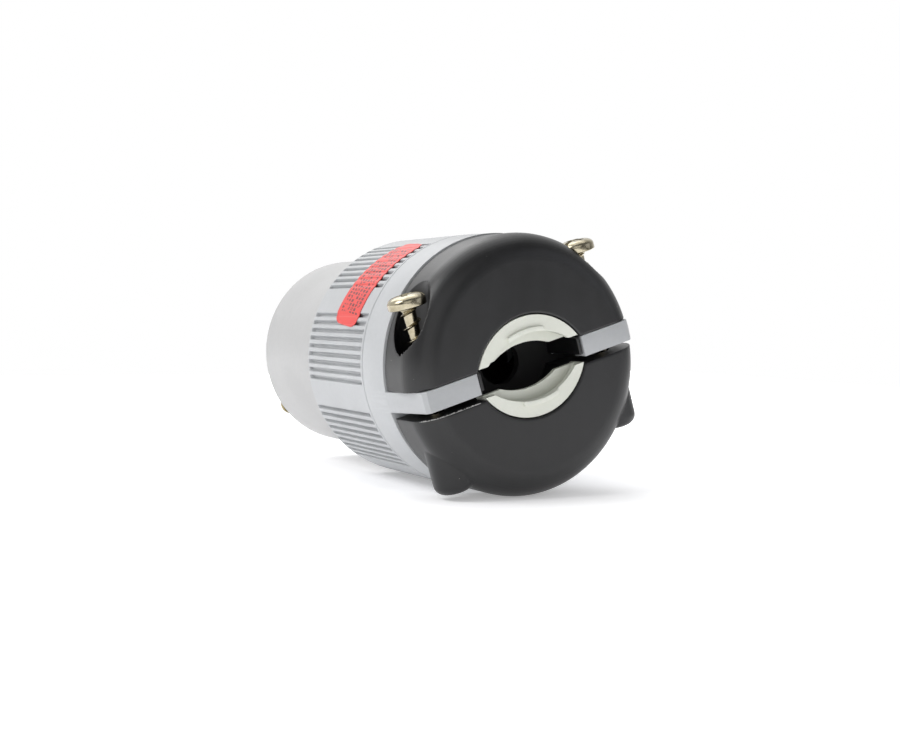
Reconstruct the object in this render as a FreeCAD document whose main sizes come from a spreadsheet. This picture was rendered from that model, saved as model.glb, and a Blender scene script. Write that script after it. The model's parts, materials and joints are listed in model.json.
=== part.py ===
import FreeCAD, Part
import math
import os
import PartDesign
import Sketcher

# A rewireable twist-lock cord connector, lying on its side.
#
# Every piece is drawn about the connector's axis, in a frame of its own: X and Y across the
# axis, Z along it, from the mating face (0) to the cord end (body_length). The flat yoke arms
# lie along X. One placement then lays the whole connector down: Z turns to -Y of the finished
# frame and the connector is rolled by roll_angle about its axis.

SIZES = {
    # overall
    "body_length": (97.0, "mating face to cord end"),
    "roll_angle": (17.2, "degrees of roll about the axis, at rest"),
    "slip_gap": (0.3, "gap between housings that slide in each other"),
    "seat_gap": (0.12, "gap between faces that rest on each other"),
    "thread_gap": (0.05, "radial gap between a screw and its thread"),
    # nose
    "nose_radius": (24.7, "outside of the nose"),
    "nose_length": (41.0, "mating face to the front of the grip"),
    "nose_wall": (2.2, "wall of the nose"),
    "nose_tuck": (5.0, "length of the nose hidden in the grip"),
    "tuck_step": (0.4, "how much smaller the hidden length is"),
    "face_thickness": (4.5, "mating face"),
    "rim_round": (1.0, "round of the nose rim"),
    # blade slots
    "slot_radius": (13.5, "pitch radius of the blade slots"),
    "slot_width": (2.7, "radial width of a slot"),
    "slot_half_angle": (17.0, "half of a slot's arc, degrees"),
    "pole_count": (4.0, "slots and contacts"),
    "pole_turn": (78.0, "first pole, degrees from X"),
    # grip
    "grip_radius": (29.0, "outside of the grip"),
    "grip_length": (31.9, "front of the grip to the seam"),
    "grip_round": (0.9, "round of the grip's front edge"),
    "seam_bevel": (0.3, "bevel on both sides of the seam"),
    "groove_depth": (0.95, "depth of a groove"),
    "groove_width": (1.1, "width of a groove at the surface"),
    "groove_root": (0.6, "width of a groove at its root"),
    "groove_margin": (0.9, "plain length at each end of a groove"),
    "groove_pitch": (3.75, "degrees from groove to groove"),
    # collar
    "collar_length": (10.2, "seam to the clamp"),
    "collar_draft": (0.2, "how much smaller the collar is at its clamp end"),
    "spigot_length": (5.0, "length that enters the grip"),
    "spigot_wall": (2.3, "wall of the spigot"),
    "web_thickness": (2.6, "wall across the collar"),
    "cable_radius": (15.5, "cord opening in the web"),
    "seal_radius": (22.0, "outside of the cord seal"),
    "seal_thickness": (2.0, "cord seal"),
    "seal_hole": (5.0, "hole in the cord seal"),
    "arm_thickness": (4.6, "yoke arm, across its flat"),
    "arm_inner": (13.6, "inner end of a yoke arm"),
    "arm_proud": (0.3, "arm stands outside the clamp's radius"),
    "arm_taper": (2.0, "arm's outside comes in by this much at the cord end"),
    "arm_corner": (0.8, "bevel of an arm's outer corner"),
    "arm_bar": (4.0, "depth of the bar that turns in across the cord end"),
    "arm_strip": (24.3, "inner side of the strip behind the bar, to the axis"),
    # cord clamp
    "clamp_radius": (28.5, "outside of the clamp halves"),
    "clamp_round": (6.0, "round of the clamp's outer edge"),
    "clamp_proud": (0.2, "clamp stands past the arms at the cord end"),
    "lower_drop": (1.5, "gap from the arms to the lower half, as shipped"),
    "lower_shift": (0.45, "how far the lower half hangs below the axis, as shipped"),
    "clamp_screw_x": (21.9, "clamp screw to the axis"),
    "clamp_screw_depth": (6.7, "clamp screw to the cord end"),
    "pocket_floor": (9.0, "height of the screw pocket's floor"),
    "pocket_floor_radius": (4.5, "pocket at its floor"),
    "pocket_mouth_radius": (5.9, "pocket at its mouth"),
    "tongue_outer": (24.0, "outer side of the tongue between a bar and the collar"),
    "tongue_drop": (1.7, "tongue reaches past the centre plane"),
    "tongue_lug": (0.8, "lug of the tongue that covers a bar's inner end"),
    "boss_radius": (4.5, "screw boss of the lower half"),
    "boss_end": (21.8, "end of a boss to the axis"),
    "boss_bevel": (1.5, "bevel of the boss's end"),
    # inserts
    "insert_radius": (14.5, "outer arc of an insert"),
    "insert_offset": (3.8, "centre of the outer arc, past the axis"),
    "insert_edge": (2.9, "edge of an insert to the centre plane"),
    "insert_gap": (0.25, "gap round an insert"),
    "insert_length": (5.0, "length of an insert"),
    "insert_ledge": (1.2, "ledge that an insert rests on"),
    "throat_grow": (0.8, "the inner arc of an insert is this much larger than its outer arc"),
    "throat_shift": (4.5, "centre of the inner arc, past that of the outer arc"),
    "channel_grow": (1.3, "the channel is this much larger than the throat"),
    "tooth_grow": (0.6, "the tooth arc is this much larger than the outer arc"),
    "tooth_shift": (6.6, "centre of the tooth arc, past that of the outer arc"),
    "tooth_thickness": (1.2, "tooth, and the insert's front wall"),
    "tooth_step": (3.1, "front wall to tooth"),
    "lip_half_width": (4.6, "half of the raised lip"),
    "lip_width": (1.0, "lip, measured across"),
    "lip_height": (0.9, "lip above the insert's face"),
    # clamp screws
    "clamp_screw_radius": (2.1, "thread crest"),
    "clamp_screw_length": (27.0, "under the head"),
    "clamp_screw_taper": (3.0, "tapered point"),
    "clamp_screw_out": (10.3, "how far it is backed out as shipped"),
    "clamp_head_radius": (4.15, "pan head"),
    "clamp_head_height": (2.7, "pan head"),
    # assembly screws
    "assembly_inset": (5.0, "assembly screw to the outside of the nose"),
    "assembly_turn": (33.0, "first assembly screw, degrees from X"),
    "assembly_screw_radius": (1.75, "thread crest"),
    "assembly_screw_length": (77.0, "under the head"),
    "assembly_screw_out": (13.5, "how far it is backed out as shipped"),
    "assembly_head_radius": (2.95, "pan head"),
    "assembly_head_height": (2.6, "pan head"),
    "assembly_sink": (3.1, "depth of the head's counterbore"),
    "assembly_boss_radius": (4.2, "boss in the collar"),
    "assembly_boss_reach": (6.0, "boss stands out of the spigot"),
    # insulators
    "carrier_length": (25.4, "contact carrier"),
    "cavity_width": (5.0, "radial width of a contact cavity"),
    "cavity_half_angle": (22.0, "half of a cavity's arc, degrees"),
    "block_length": (31.0, "terminal block"),
    "bay_width": (11.6, "terminal bay"),
    "bay_floor": (7.0, "floor of a bay to the axis"),
    "wire_radius": (16.4, "wire hole to the axis"),
    "bay_front": (16.0, "wall in front of a bay"),
    "bay_back": (4.0, "wall behind a bay"),
    "wire_hole_radius": (2.9, "wire hole behind a bay"),
    # contacts and terminals
    "leaf_thickness": (0.6, "spring leaf"),
    "leaf_gap": (2.0, "gap between a contact's two leaves"),
    "contact_half_angle": (19.0, "half of a contact's arc, degrees"),
    "contact_start": (1.4, "contact behind the mating face's inside"),
    "contact_length": (20.0, "leaves and their web"),
    "tail_radius": (13.0, "underside of a contact's tail to the axis"),
    "tail_thickness": (1.4, "contact tail"),
    "tail_width": (8.6, "contact tail"),
    "tail_margin": (2.0, "tail stops short of the bay's end"),
    "plate_thickness": (1.0, "pressure plate"),
    "plate_size": (8.0, "pressure plate"),
    "plate_lift": (0.35, "pressure plate above the tail"),
    "terminal_screw_radius": (1.9, "thread crest"),
    "terminal_head_radius": (3.5, "pan head"),
    "terminal_head_height": (2.0, "pan head"),
    "terminal_screw_length": (6.4, "under the head"),
    # label
    "label_turn": (121.7, "middle of the label, degrees from X"),
    "label_length": (25.2, "round the grip, measured straight across"),
    "label_width": (12.6, "along the axis"),
    "label_corner": (3.0, "round of the label's corners"),
    "label_skew": (6.5, "how askew the label sits, degrees"),
    "label_to_seam": (10.8, "middle of the label to the seam"),
    "label_thickness": (0.15, "label film"),
    "label_lift": (0.02, "adhesive under the label"),
}

GROOVES_PER_GROUP = 9
GROOVE_GROUPS = 8
POLES = ("hot_x", "hot_y", "neutral", "ground")
TOLERANCE = 1e-4

doc = FreeCAD.newDocument("cord_connector")
sheet = doc.addObject("Spreadsheet::Sheet", "Sizes")
for row, (name, (value, meaning)) in enumerate(SIZES.items(), 1):
    sheet.set("A%d" % row, meaning)
    sheet.set("B%d" % row, str(value))
    sheet.setAlias("B%d" % row, name)
doc.recompute()


def size(name):
    """The sheet's number for a named size."""
    return float(getattr(sheet, name))


def bind(thing, settings):
    """Bind properties to formulas written in the sheet's names."""
    for prop, formula in settings.items():
        thing.setExpression(prop, expand(formula))


def expand(formula):
    """Turn the bare size names of a formula into references to the sheet."""
    words = []
    word = ""
    for letter in str(formula) + " ":
        if letter.isalnum() or letter == "_" or (letter == "." and word):
            word += letter
            continue
        words.append("Sizes." + word if word in SIZES else word)
        words.append(letter)
        word = ""
    return "".join(words).strip()


def turned(degrees, axis=(0, 0, 1)):
    """A rotation about an axis through the origin."""
    return FreeCAD.Rotation(FreeCAD.Vector(*axis), degrees)


ALONG_X = turned(90, (0, 1, 0))
ALONG_Y = turned(-90, (1, 0, 0))
UPRIGHT = turned(0)


def laid_down(own_turn=0.0):
    """The placement that lays a piece down, after its own turn about the axis."""
    lay = turned(-size("roll_angle"), (0, 1, 0)).multiply(turned(90, (1, 0, 0)))
    return FreeCAD.Placement(FreeCAD.Vector(), lay.multiply(turned(own_turn)))


def new_body(label):
    """An empty body for one piece."""
    body = doc.addObject("PartDesign::Body", label)
    body.Label = label
    return body


def solid(body, kind, name, sizes, at=("0", "0", "0"), rotation=UPRIGHT):
    """Add a primitive to a body, or take it away, with every size bound to the sheet."""
    feature = body.newObject("PartDesign::" + kind, name)
    feature.Placement = FreeCAD.Placement(FreeCAD.Vector(), rotation)
    bind(feature, sizes)
    for letter, formula in zip("xyz", at):
        feature.setExpression("Placement.Base." + letter, expand(formula))
    return feature


def plane(body, role):
    """One of a body's own origin planes."""
    return next(item for item in body.Origin.OriginFeatures if item.Role == role)


def new_sketch(body, name, role="XY_Plane", height="0"):
    """A sketch on an origin plane, raised by a height."""
    sketch = body.newObject("Sketcher::SketchObject", name)
    sketch.AttachmentSupport = [(plane(body, role), "")]
    sketch.MapMode = "FlatFace"
    sketch.setExpression("AttachmentOffset.Base.z", expand(height))
    return sketch


def dimension(sketch, kind, where, formula, start):
    """Add one driving dimension and bind it to the sheet."""
    index = sketch.addConstraint(Sketcher.Constraint(kind, *where, start))
    sketch.setExpression("Constraints[%d]" % index, expand(formula))
    return index


def polygon(sketch, points):
    """A closed outline whose corners are formulas of the sheet's sizes."""
    corners = [[number(formula) for formula in formulas] for formulas in points]
    count = len(corners)
    for index in range(count):
        start = FreeCAD.Vector(*corners[index], 0)
        end = FreeCAD.Vector(*corners[(index + 1) % count], 0)
        sketch.addGeometry(Part.LineSegment(start, end), False)
    for index in range(count):
        after = (index + 1) % count
        sketch.addConstraint(Sketcher.Constraint("Coincident", index, 2, after, 1))
    for index, formulas in enumerate(points):
        for kind, formula, place, own_axis in zip(
            ("DistanceX", "DistanceY"), formulas, corners[index], (-2, -1)
        ):
            if formula == "0":
                sketch.addConstraint(Sketcher.Constraint("PointOnObject", index, 1, own_axis))
            else:
                dimension(sketch, kind, (-1, 1, index, 1), formula, place)


def number(formula):
    """The number of a formula that only adds, takes away and multiplies sizes."""
    total = 0.0
    sign = 1.0
    for word in str(formula).replace("-", " - ").replace("+", " + ").split():
        if word in "+-":
            sign = -1.0 if word == "-" else 1.0
            continue
        product = 1.0
        for factor in word.split("*"):
            product *= size(factor) if factor in SIZES else float(factor)
        total += sign * product
        sign = 1.0
    return total


def revolve(body, name, points, cut=False):
    """Turn an outline, given as radius and height, about the body's Z axis."""
    sketch = new_sketch(body, name + "_outline", "XZ_Plane")
    polygon(sketch, points)
    kind = "PartDesign::Groove" if cut else "PartDesign::Revolution"
    feature = body.newObject(kind, name)
    feature.Profile = sketch
    feature.ReferenceAxis = (sketch, ["V_Axis"])
    feature.Angle = 360.0
    return feature


def cut_down(body, name, sketch, depth):
    """Cut from a sketch towards the mating face."""
    pocket = body.newObject("PartDesign::Pocket", name)
    pocket.Profile = sketch
    pocket.setExpression("Length", expand(depth))
    return pocket


def pad_up(body, name, sketch, length):
    """Raise a sketch towards the cord end."""
    pad = body.newObject("PartDesign::Pad", name)
    pad.Profile = sketch
    pad.setExpression("Length", expand(length))
    return pad


def round_edges(body, name, base, radius, wanted):
    """Round the edges of a feature that a test picks out."""
    doc.recompute()
    edges = ["Edge%d" % i for i, edge in enumerate(base.Shape.Edges, 1) if wanted(edge)]
    if not edges:
        raise ValueError("no edge to round for " + name)
    fillet = body.newObject("PartDesign::Fillet", name)
    fillet.Base = (base, edges)
    fillet.setExpression("Radius", expand(radius))
    return fillet


def is_circle(edge, radius, height):
    """True for a round edge about the axis, of a radius and at a height."""
    curve = edge.Curve
    if not isinstance(curve, Part.Circle):
        return False
    return abs(curve.Radius - radius) < TOLERANCE and abs(curve.Center.z - height) < TOLERANCE


def around(body, name, feature, count, start="0"):
    """Repeat a feature evenly about the body's Z axis."""
    doc.recompute()
    pattern = body.newObject("PartDesign::PolarPattern", name)
    pattern.Originals = [feature]
    pattern.Axis = (plane_axis(body), [""])
    pattern.Angle = 360
    pattern.Occurrences = count
    body.Tip = pattern
    return pattern


def plane_axis(body):
    """A body's own Z axis."""
    return next(item for item in body.Origin.OriginFeatures if item.Role == "Z_Axis")


def arc_band(sketch, middle_radius, width, half_angle, turn):
    """A band that follows an arc about the axis, centred on a direction."""
    centre = FreeCAD.Vector()
    low = math.radians(size(turn) - size(half_angle))
    high = math.radians(size(turn) + size(half_angle))
    radii = (size(middle_radius) - size(width) / 2, size(middle_radius) + size(width) / 2)
    arcs = []
    for radius in radii:
        circle = Part.Circle(centre, FreeCAD.Vector(0, 0, 1), radius)
        arcs.append(sketch.addGeometry(Part.ArcOfCircle(circle, low, high), False))
    for arc, sign in zip(arcs, ("-", "+")):
        sketch.addConstraint(Sketcher.Constraint("Coincident", arc, 3, -1, 1))
        formula = "%s %s %s / 2" % (middle_radius, sign, width)
        dimension(sketch, "Radius", (arc,), formula, radii[arcs.index(arc)])
    for end, angle, sign in ((1, low, "-"), (2, high, "+")):
        way = FreeCAD.Vector(math.cos(angle), math.sin(angle), 0)
        side = sketch.addGeometry(Part.LineSegment(way * radii[0], way * radii[1]), False)
        sketch.addConstraint(Sketcher.Constraint("Coincident", side, 1, arcs[0], end))
        sketch.addConstraint(Sketcher.Constraint("Coincident", side, 2, arcs[1], end))
        sketch.addConstraint(Sketcher.Constraint("PointOnObject", -1, 1, side))
        turn_formula = "(%s %s %s) * 1 deg" % (turn, sign, half_angle)
        dimension(sketch, "Angle", (side,), turn_formula, angle)


def crescent(sketch, outer_radius, outer_offset, inner_radius, inner_offset, edge):
    """The area between two arcs whose centres lie below the axis, above a level edge."""
    radii = (number(outer_radius), number(inner_radius))
    offsets = (number(outer_offset), number(inner_offset))
    level = number(edge)
    ends = []
    for index, (radius, offset) in enumerate(zip(radii, offsets)):
        reach = math.sqrt(radius**2 - (level + offset) ** 2)
        ends.append(reach)
        low = math.atan2(level + offset, reach)
        centre = FreeCAD.Vector(0, -offset, 0)
        circle = Part.Circle(centre, FreeCAD.Vector(0, 0, 1), radius)
        sketch.addGeometry(Part.ArcOfCircle(circle, low, math.pi - low), False)
    for sign, end in ((1, 1), (-1, 2)):
        inner = FreeCAD.Vector(sign * ends[1], level, 0)
        outer = FreeCAD.Vector(sign * ends[0], level, 0)
        side = sketch.addGeometry(Part.LineSegment(inner, outer), False)
        sketch.addConstraint(Sketcher.Constraint("Coincident", side, 1, 1, end))
        sketch.addConstraint(Sketcher.Constraint("Coincident", side, 2, 0, end))
    for arc in (0, 1):
        for end in (1, 2):
            dimension(sketch, "DistanceY", (-1, 1, arc, end), edge, level)
    for index, (radius, offset) in enumerate(
        ((outer_radius, outer_offset), (inner_radius, inner_offset))
    ):
        sketch.addConstraint(Sketcher.Constraint("PointOnObject", index, 3, -2))
        dimension(sketch, "Radius", (index,), radius, radii[index])
        dimension(sketch, "DistanceY", (index, 3, -1, 1), offset, offsets[index])


# Heights along the axis, as formulas.
GRIP_FRONT = "nose_length"
SEAM = "nose_length + grip_length"
COLLAR_BACK = SEAM + " + collar_length"
SEAL_BACK = COLLAR_BACK
SEAL_FRONT = SEAL_BACK + " - seal_thickness"
WEB_BACK = SEAL_FRONT + " - seat_gap"
WEB_FRONT = WEB_BACK + " - web_thickness"
CLAMP_FRONT = COLLAR_BACK + " + slip_gap"
CLAMP_BACK = "body_length + clamp_proud"
CLAMP_LENGTH = "body_length + clamp_proud - (" + CLAMP_FRONT + ")"
SCREW_LEVEL = "body_length - clamp_screw_depth"
CARRIER_FRONT = "face_thickness + seat_gap"
CARRIER_BACK = "face_thickness + seat_gap + carrier_length"
BLOCK_FRONT = "face_thickness + 2*seat_gap + carrier_length"
BLOCK_BACK = BLOCK_FRONT + " + block_length"
BAY_FRONT = BLOCK_FRONT + " + bay_front"
BAY_BACK = BLOCK_BACK + " - bay_back"
BAY_LENGTH = "block_length - bay_front - bay_back"
TERMINAL_LEVEL = BAY_FRONT + " + 0.5*block_length - 0.5*bay_front - 0.5*bay_back"
NOSE_BACK = "nose_length + nose_tuck"
NOSE_INSIDE = "nose_radius - nose_wall"
GRIP_BORE = "nose_radius + slip_gap"
SPIGOT_RADIUS = "nose_radius + slip_gap - seat_gap"
ARM_OUTSIDE = "clamp_radius + arm_proud"
THROAT_RADIUS = "insert_radius + throat_grow"
THROAT_OFFSET = "insert_offset + throat_shift"
TOOTH_RADIUS = "insert_radius + tooth_grow"
TOOTH_OFFSET = "insert_offset + tooth_shift"
ASSEMBLY_RADIUS = "(nose_radius - assembly_inset)"
TONGUE_INNER = "arm_inner - slip_gap - tongue_lug"

pieces = {}


def keep(body, own_turn=0.0, drop=None):
    """Lay a finished piece down, lowered by a size if it hangs, and list it by its label."""
    hang = FreeCAD.Vector(0, -size(drop), 0) if drop else FreeCAD.Vector()
    lowered = FreeCAD.Placement(hang, FreeCAD.Rotation())
    body.Placement = laid_down().multiply(lowered).multiply(
        FreeCAD.Placement(FreeCAD.Vector(), turned(own_turn))
    )
    pieces[body.Label] = body


# The nose: a cup with four curved blade slots and two long screws through its face.

def make_nose():
    body = new_body("nose_shell")
    outline = [
        ("0", "0"),
        ("nose_radius", "0"),
        ("nose_radius", "nose_length"),
        ("nose_radius - tuck_step", "nose_length"),
        ("nose_radius - tuck_step", NOSE_BACK),
        (NOSE_INSIDE, NOSE_BACK),
        (NOSE_INSIDE, "face_thickness"),
        ("0", "face_thickness"),
    ]
    cup = revolve(body, "cup", outline)
    rim = round_edges(
        body, "rim", cup, "rim_round", lambda edge: is_circle(edge, size("nose_radius"), 0.0)
    )
    slot_sketch = new_sketch(body, "slot_outline", height="face_thickness")
    arc_band(slot_sketch, "slot_radius", "slot_width", "slot_half_angle", "pole_turn")
    slot = cut_down(body, "slot", slot_sketch, "face_thickness")
    around(body, "slots", slot, int(size("pole_count")))
    for index, side in enumerate(("", " + 180")):
        at = polar(ASSEMBLY_RADIUS, "assembly_turn" + side)
        solid(
            body, "SubtractiveCylinder", "sink_%d" % index,
            {"Radius": "assembly_head_radius + slip_gap", "Height": "assembly_sink"}, at,
        )
        solid(
            body, "SubtractiveCylinder", "screw_hole_%d" % index,
            {"Radius": "assembly_screw_radius + slip_gap", "Height": "face_thickness"}, at,
        )
    keep(body)


def polar(radius, turn, height="0"):
    """Formulas of the point at a radius, a turn in degrees and a height."""
    across = "%s * cos((%s) * 1 deg)" % (radius, turn)
    up = "%s * sin((%s) * 1 deg)" % (radius, turn)
    return (across, up, height)


# The grip: a sleeve with groups of fine grooves, and the spigot's seat behind.

def make_grip():
    body = new_body("grip_shell")
    outline = [
        (GRIP_BORE, GRIP_FRONT),
        ("grip_radius", GRIP_FRONT),
        ("grip_radius", SEAM + " - seam_bevel"),
        ("grip_radius - seam_bevel", SEAM),
        (GRIP_BORE, SEAM),
    ]
    sleeve = revolve(body, "sleeve", outline)
    front = round_edges(
        body, "front_edge", sleeve, "grip_round",
        lambda edge: is_circle(edge, size("grip_radius"), number(GRIP_FRONT)),
    )
    sketch = new_sketch(body, "groove_group", height=SEAM + " - groove_margin")
    for index in range(GROOVES_PER_GROUP):
        groove_outline(sketch, index - (GROOVES_PER_GROUP - 1) / 2)
    group = cut_down(body, "grooves", sketch, "grip_length - 2*groove_margin")
    around(body, "groove_groups", group, GROOVE_GROUPS)
    keep(body, 180.0 / GROOVE_GROUPS)


def groove_outline(sketch, step):
    """One groove, wide at the surface and narrow at its root."""
    turn = math.radians(size("groove_pitch") * step)
    way = FreeCAD.Vector(math.cos(turn), math.sin(turn), 0)
    side = FreeCAD.Vector(-way.y, way.x, 0)
    root = size("grip_radius") - size("groove_depth")
    outside = size("grip_radius") + size("groove_depth")
    half_mouth = size("groove_width") - size("groove_root") / 2
    half_root = size("groove_root") / 2
    corners = [
        way * root - side * half_root,
        way * outside - side * half_mouth,
        way * outside + side * half_mouth,
        way * root + side * half_root,
    ]
    first = sketch.GeometryCount
    for index, corner in enumerate(corners):
        after = corners[(index + 1) % len(corners)]
        sketch.addGeometry(Part.LineSegment(corner, after), False)
    for index in range(len(corners)):
        after = first + (index + 1) % len(corners)
        sketch.addConstraint(Sketcher.Constraint("Coincident", first + index, 2, after, 1))


# The collar: spigot, outer band, a web with the cord opening, and the two yoke arms. An arm is
# a strip along the side that ends in a bar across the cord end.

def make_collar():
    body = new_body("rear_collar")
    inside = "nose_radius + slip_gap - seat_gap - spigot_wall"
    band = [
        (inside, SEAM + " - spigot_length"),
        (SPIGOT_RADIUS, SEAM + " - spigot_length"),
        (SPIGOT_RADIUS, SEAM),
        ("grip_radius - seam_bevel", SEAM),
        ("grip_radius", SEAM + " + seam_bevel"),
        ("grip_radius - collar_draft", COLLAR_BACK),
        ("seal_radius + slip_gap", COLLAR_BACK),
        ("seal_radius + slip_gap", WEB_BACK),
        ("cable_radius", WEB_BACK),
        ("cable_radius", WEB_FRONT),
        (inside, WEB_FRONT),
    ]
    revolve(body, "band", band)
    boss_start = SEAM + " - spigot_length - assembly_boss_reach"
    boss_end = WEB_BACK + " - web_thickness/2"
    for index, side in enumerate(("", " + 180")):
        boss_at = polar(ASSEMBLY_RADIUS, "assembly_turn" + side, boss_start)
        solid(
            body, "AdditiveCylinder", "boss_%d" % index,
            {"Radius": "assembly_boss_radius", "Height": "%s - (%s)" % (boss_end, boss_start)},
            boss_at,
        )
        solid(
            body, "SubtractiveCylinder", "boss_hole_%d" % index,
            {"Radius": "assembly_screw_radius + thread_gap", "Height": "body_length"}, boss_at,
        )
    arm_sketch = new_sketch(body, "arm_outline", height=COLLAR_BACK)
    arm_outlines(arm_sketch)
    pad_up(body, "arms", arm_sketch, "body_length - (" + COLLAR_BACK + ")")
    for index, corner in enumerate(("arm_inner - 1", "-arm_strip")):
        solid(
            body, "SubtractiveBox", "behind_bar_%d" % index,
            {"Length": "arm_strip - arm_inner + 1", "Width": "2*arm_thickness",
             "Height": "body_length - arm_bar - (" + COLLAR_BACK + ")"},
            (corner, "-arm_thickness", COLLAR_BACK),
        )
    taper = [
        (ARM_OUTSIDE, COLLAR_BACK),
        (ARM_OUTSIDE + " - arm_taper", "body_length - arm_corner"),
        (ARM_OUTSIDE + " - arm_taper - arm_corner", "body_length"),
        (ARM_OUTSIDE + " - arm_taper - arm_corner", "body_length + 1"),
        (ARM_OUTSIDE + " + 1", "body_length + 1"),
        (ARM_OUTSIDE + " + 1", COLLAR_BACK),
    ]
    revolve(body, "arm_taper", taper, cut=True)
    keep(body)


def arm_outlines(sketch):
    """Both yoke arms, end on: flat bars with an outer end that follows the collar."""
    half = size("arm_thickness") / 2
    outside = size("clamp_radius") + size("arm_proud")
    reach = math.sqrt(outside**2 - half**2)
    inner = size("arm_inner")
    spread = math.asin(half / outside)
    for start, sign in ((0.0, 1), (math.pi, -1)):
        first = sketch.GeometryCount
        circle = Part.Circle(FreeCAD.Vector(), FreeCAD.Vector(0, 0, 1), outside)
        sketch.addGeometry(Part.ArcOfCircle(circle, start - spread, start + spread), False)
        corners = [
            FreeCAD.Vector(sign * reach, sign * half, 0),
            FreeCAD.Vector(sign * inner, sign * half, 0),
            FreeCAD.Vector(sign * inner, -sign * half, 0),
            FreeCAD.Vector(sign * reach, -sign * half, 0),
        ]
        for index in range(3):
            line = Part.LineSegment(corners[index], corners[index + 1])
            sketch.addGeometry(line, False)
            sketch.addConstraint(
                Sketcher.Constraint("Coincident", first + index, 2, first + index + 1, 1)
            )
        sketch.addConstraint(Sketcher.Constraint("Coincident", first + 3, 2, first, 1))
        sketch.addConstraint(Sketcher.Constraint("Coincident", first, 3, -1, 1))
        dimension(sketch, "Radius", (first,), ARM_OUTSIDE, outside)
        sketch.addConstraint(Sketcher.Constraint("Horizontal", first + 1))
        sketch.addConstraint(Sketcher.Constraint("Horizontal", first + 3))
        dimension(sketch, "DistanceY", (first + 2, 2, first + 2, 1) if sign > 0
                  else (first + 2, 1, first + 2, 2), "arm_thickness", 2 * half)
        sketch.addConstraint(
            Sketcher.Constraint("Symmetric", first + 2, 1, first + 2, 2, -1)
        )
        where = (-1, 1, first + 2, 1) if sign > 0 else (first + 2, 1, -1, 1)
        dimension(sketch, "DistanceX", where, "arm_inner", inner)


# The cord seal: a soft disc that closes the collar behind the clamp.

def make_seal():
    body = new_body("cord_seal")
    outline = [
        ("seal_hole", SEAL_FRONT),
        ("seal_radius", SEAL_FRONT),
        ("seal_radius", SEAL_BACK),
        ("seal_hole", SEAL_BACK),
    ]
    revolve(body, "disc", outline)
    keep(body)


# The clamp halves: a thick disc with a rounded outer edge, split by the yoke arms. The upper
# half has a tongue at each side, which fills the space between a bar and the collar.

def clamp_disc(label, hole_offset):
    """A whole disc with the bore and the seat of one insert."""
    body = new_body(label)
    sketch = new_sketch(body, "disc_outline", height=CLAMP_FRONT)
    circle = Part.Circle(FreeCAD.Vector(), FreeCAD.Vector(0, 0, 1), size("clamp_radius"))
    sketch.addGeometry(circle, False)
    sketch.addConstraint(Sketcher.Constraint("Coincident", 0, 3, -1, 1))
    dimension(sketch, "Radius", (0,), "clamp_radius", size("clamp_radius"))
    disc = pad_up(body, "disc", sketch, CLAMP_LENGTH)
    round_edges(
        body, "outer_edge", disc, "clamp_round",
        lambda edge: is_circle(edge, size("clamp_radius"), number(CLAMP_BACK)),
    )
    solid(
        body, "SubtractiveCylinder", "bore",
        {"Radius": "insert_radius - insert_ledge", "Height": "2*body_length"},
        ("0", hole_offset, "0"),
    )
    solid(
        body, "SubtractiveCylinder", "insert_seat",
        {"Radius": "insert_radius + insert_gap", "Height": "body_length"},
        ("0", hole_offset, "body_length - insert_length - insert_gap"),
    )
    return body


def half_space(body, low_y):
    """Take away one side of a clamp disc, from a height up."""
    span = "4*clamp_radius"
    solid(
        body, "SubtractiveBox", "split",
        {"Length": span, "Width": span, "Height": "2*body_length"},
        ("-2*clamp_radius", low_y, "0"),
    )


def make_clamp_upper():
    body = clamp_disc("clamp_upper", "-insert_offset")
    half_space(body, "arm_thickness/2 + seat_gap - 4*clamp_radius")
    for index, corner in enumerate((TONGUE_INNER, "-tongue_outer")):
        solid(
            body, "AdditiveBox", "tongue_%d" % index,
            {"Length": "tongue_outer - (" + TONGUE_INNER + ")",
             "Width": "tongue_drop + arm_thickness/2 + 2*seat_gap",
             "Height": "body_length - arm_bar - slip_gap - (" + CLAMP_FRONT + ")"},
            (corner, "-tongue_drop", CLAMP_FRONT),
        )
    for index, corner in enumerate((TONGUE_INNER, "-arm_inner + slip_gap")):
        solid(
            body, "AdditiveBox", "lug_%d" % index,
            {"Length": "tongue_lug", "Width": "tongue_drop + arm_thickness/2",
             "Height": "body_length - slip_gap - (" + CLAMP_FRONT + ")"},
            (corner, "-tongue_drop", CLAMP_FRONT),
        )
    for index, side in enumerate(("-", "")):
        cone_height = "clamp_radius - pocket_floor"
        solid(
            body, "SubtractiveCone", "screw_pocket_%d" % index,
            {"Radius1": "pocket_floor_radius", "Radius2": "pocket_mouth_radius",
             "Height": cone_height},
            (side + "clamp_screw_x", "pocket_floor", SCREW_LEVEL), ALONG_Y,
        )
        solid(
            body, "SubtractiveCylinder", "screw_hole_%d" % index,
            {"Radius": "clamp_screw_radius + slip_gap", "Height": "2*clamp_radius"},
            (side + "clamp_screw_x", "-clamp_radius", SCREW_LEVEL), ALONG_Y,
        )
    keep(body)


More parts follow.
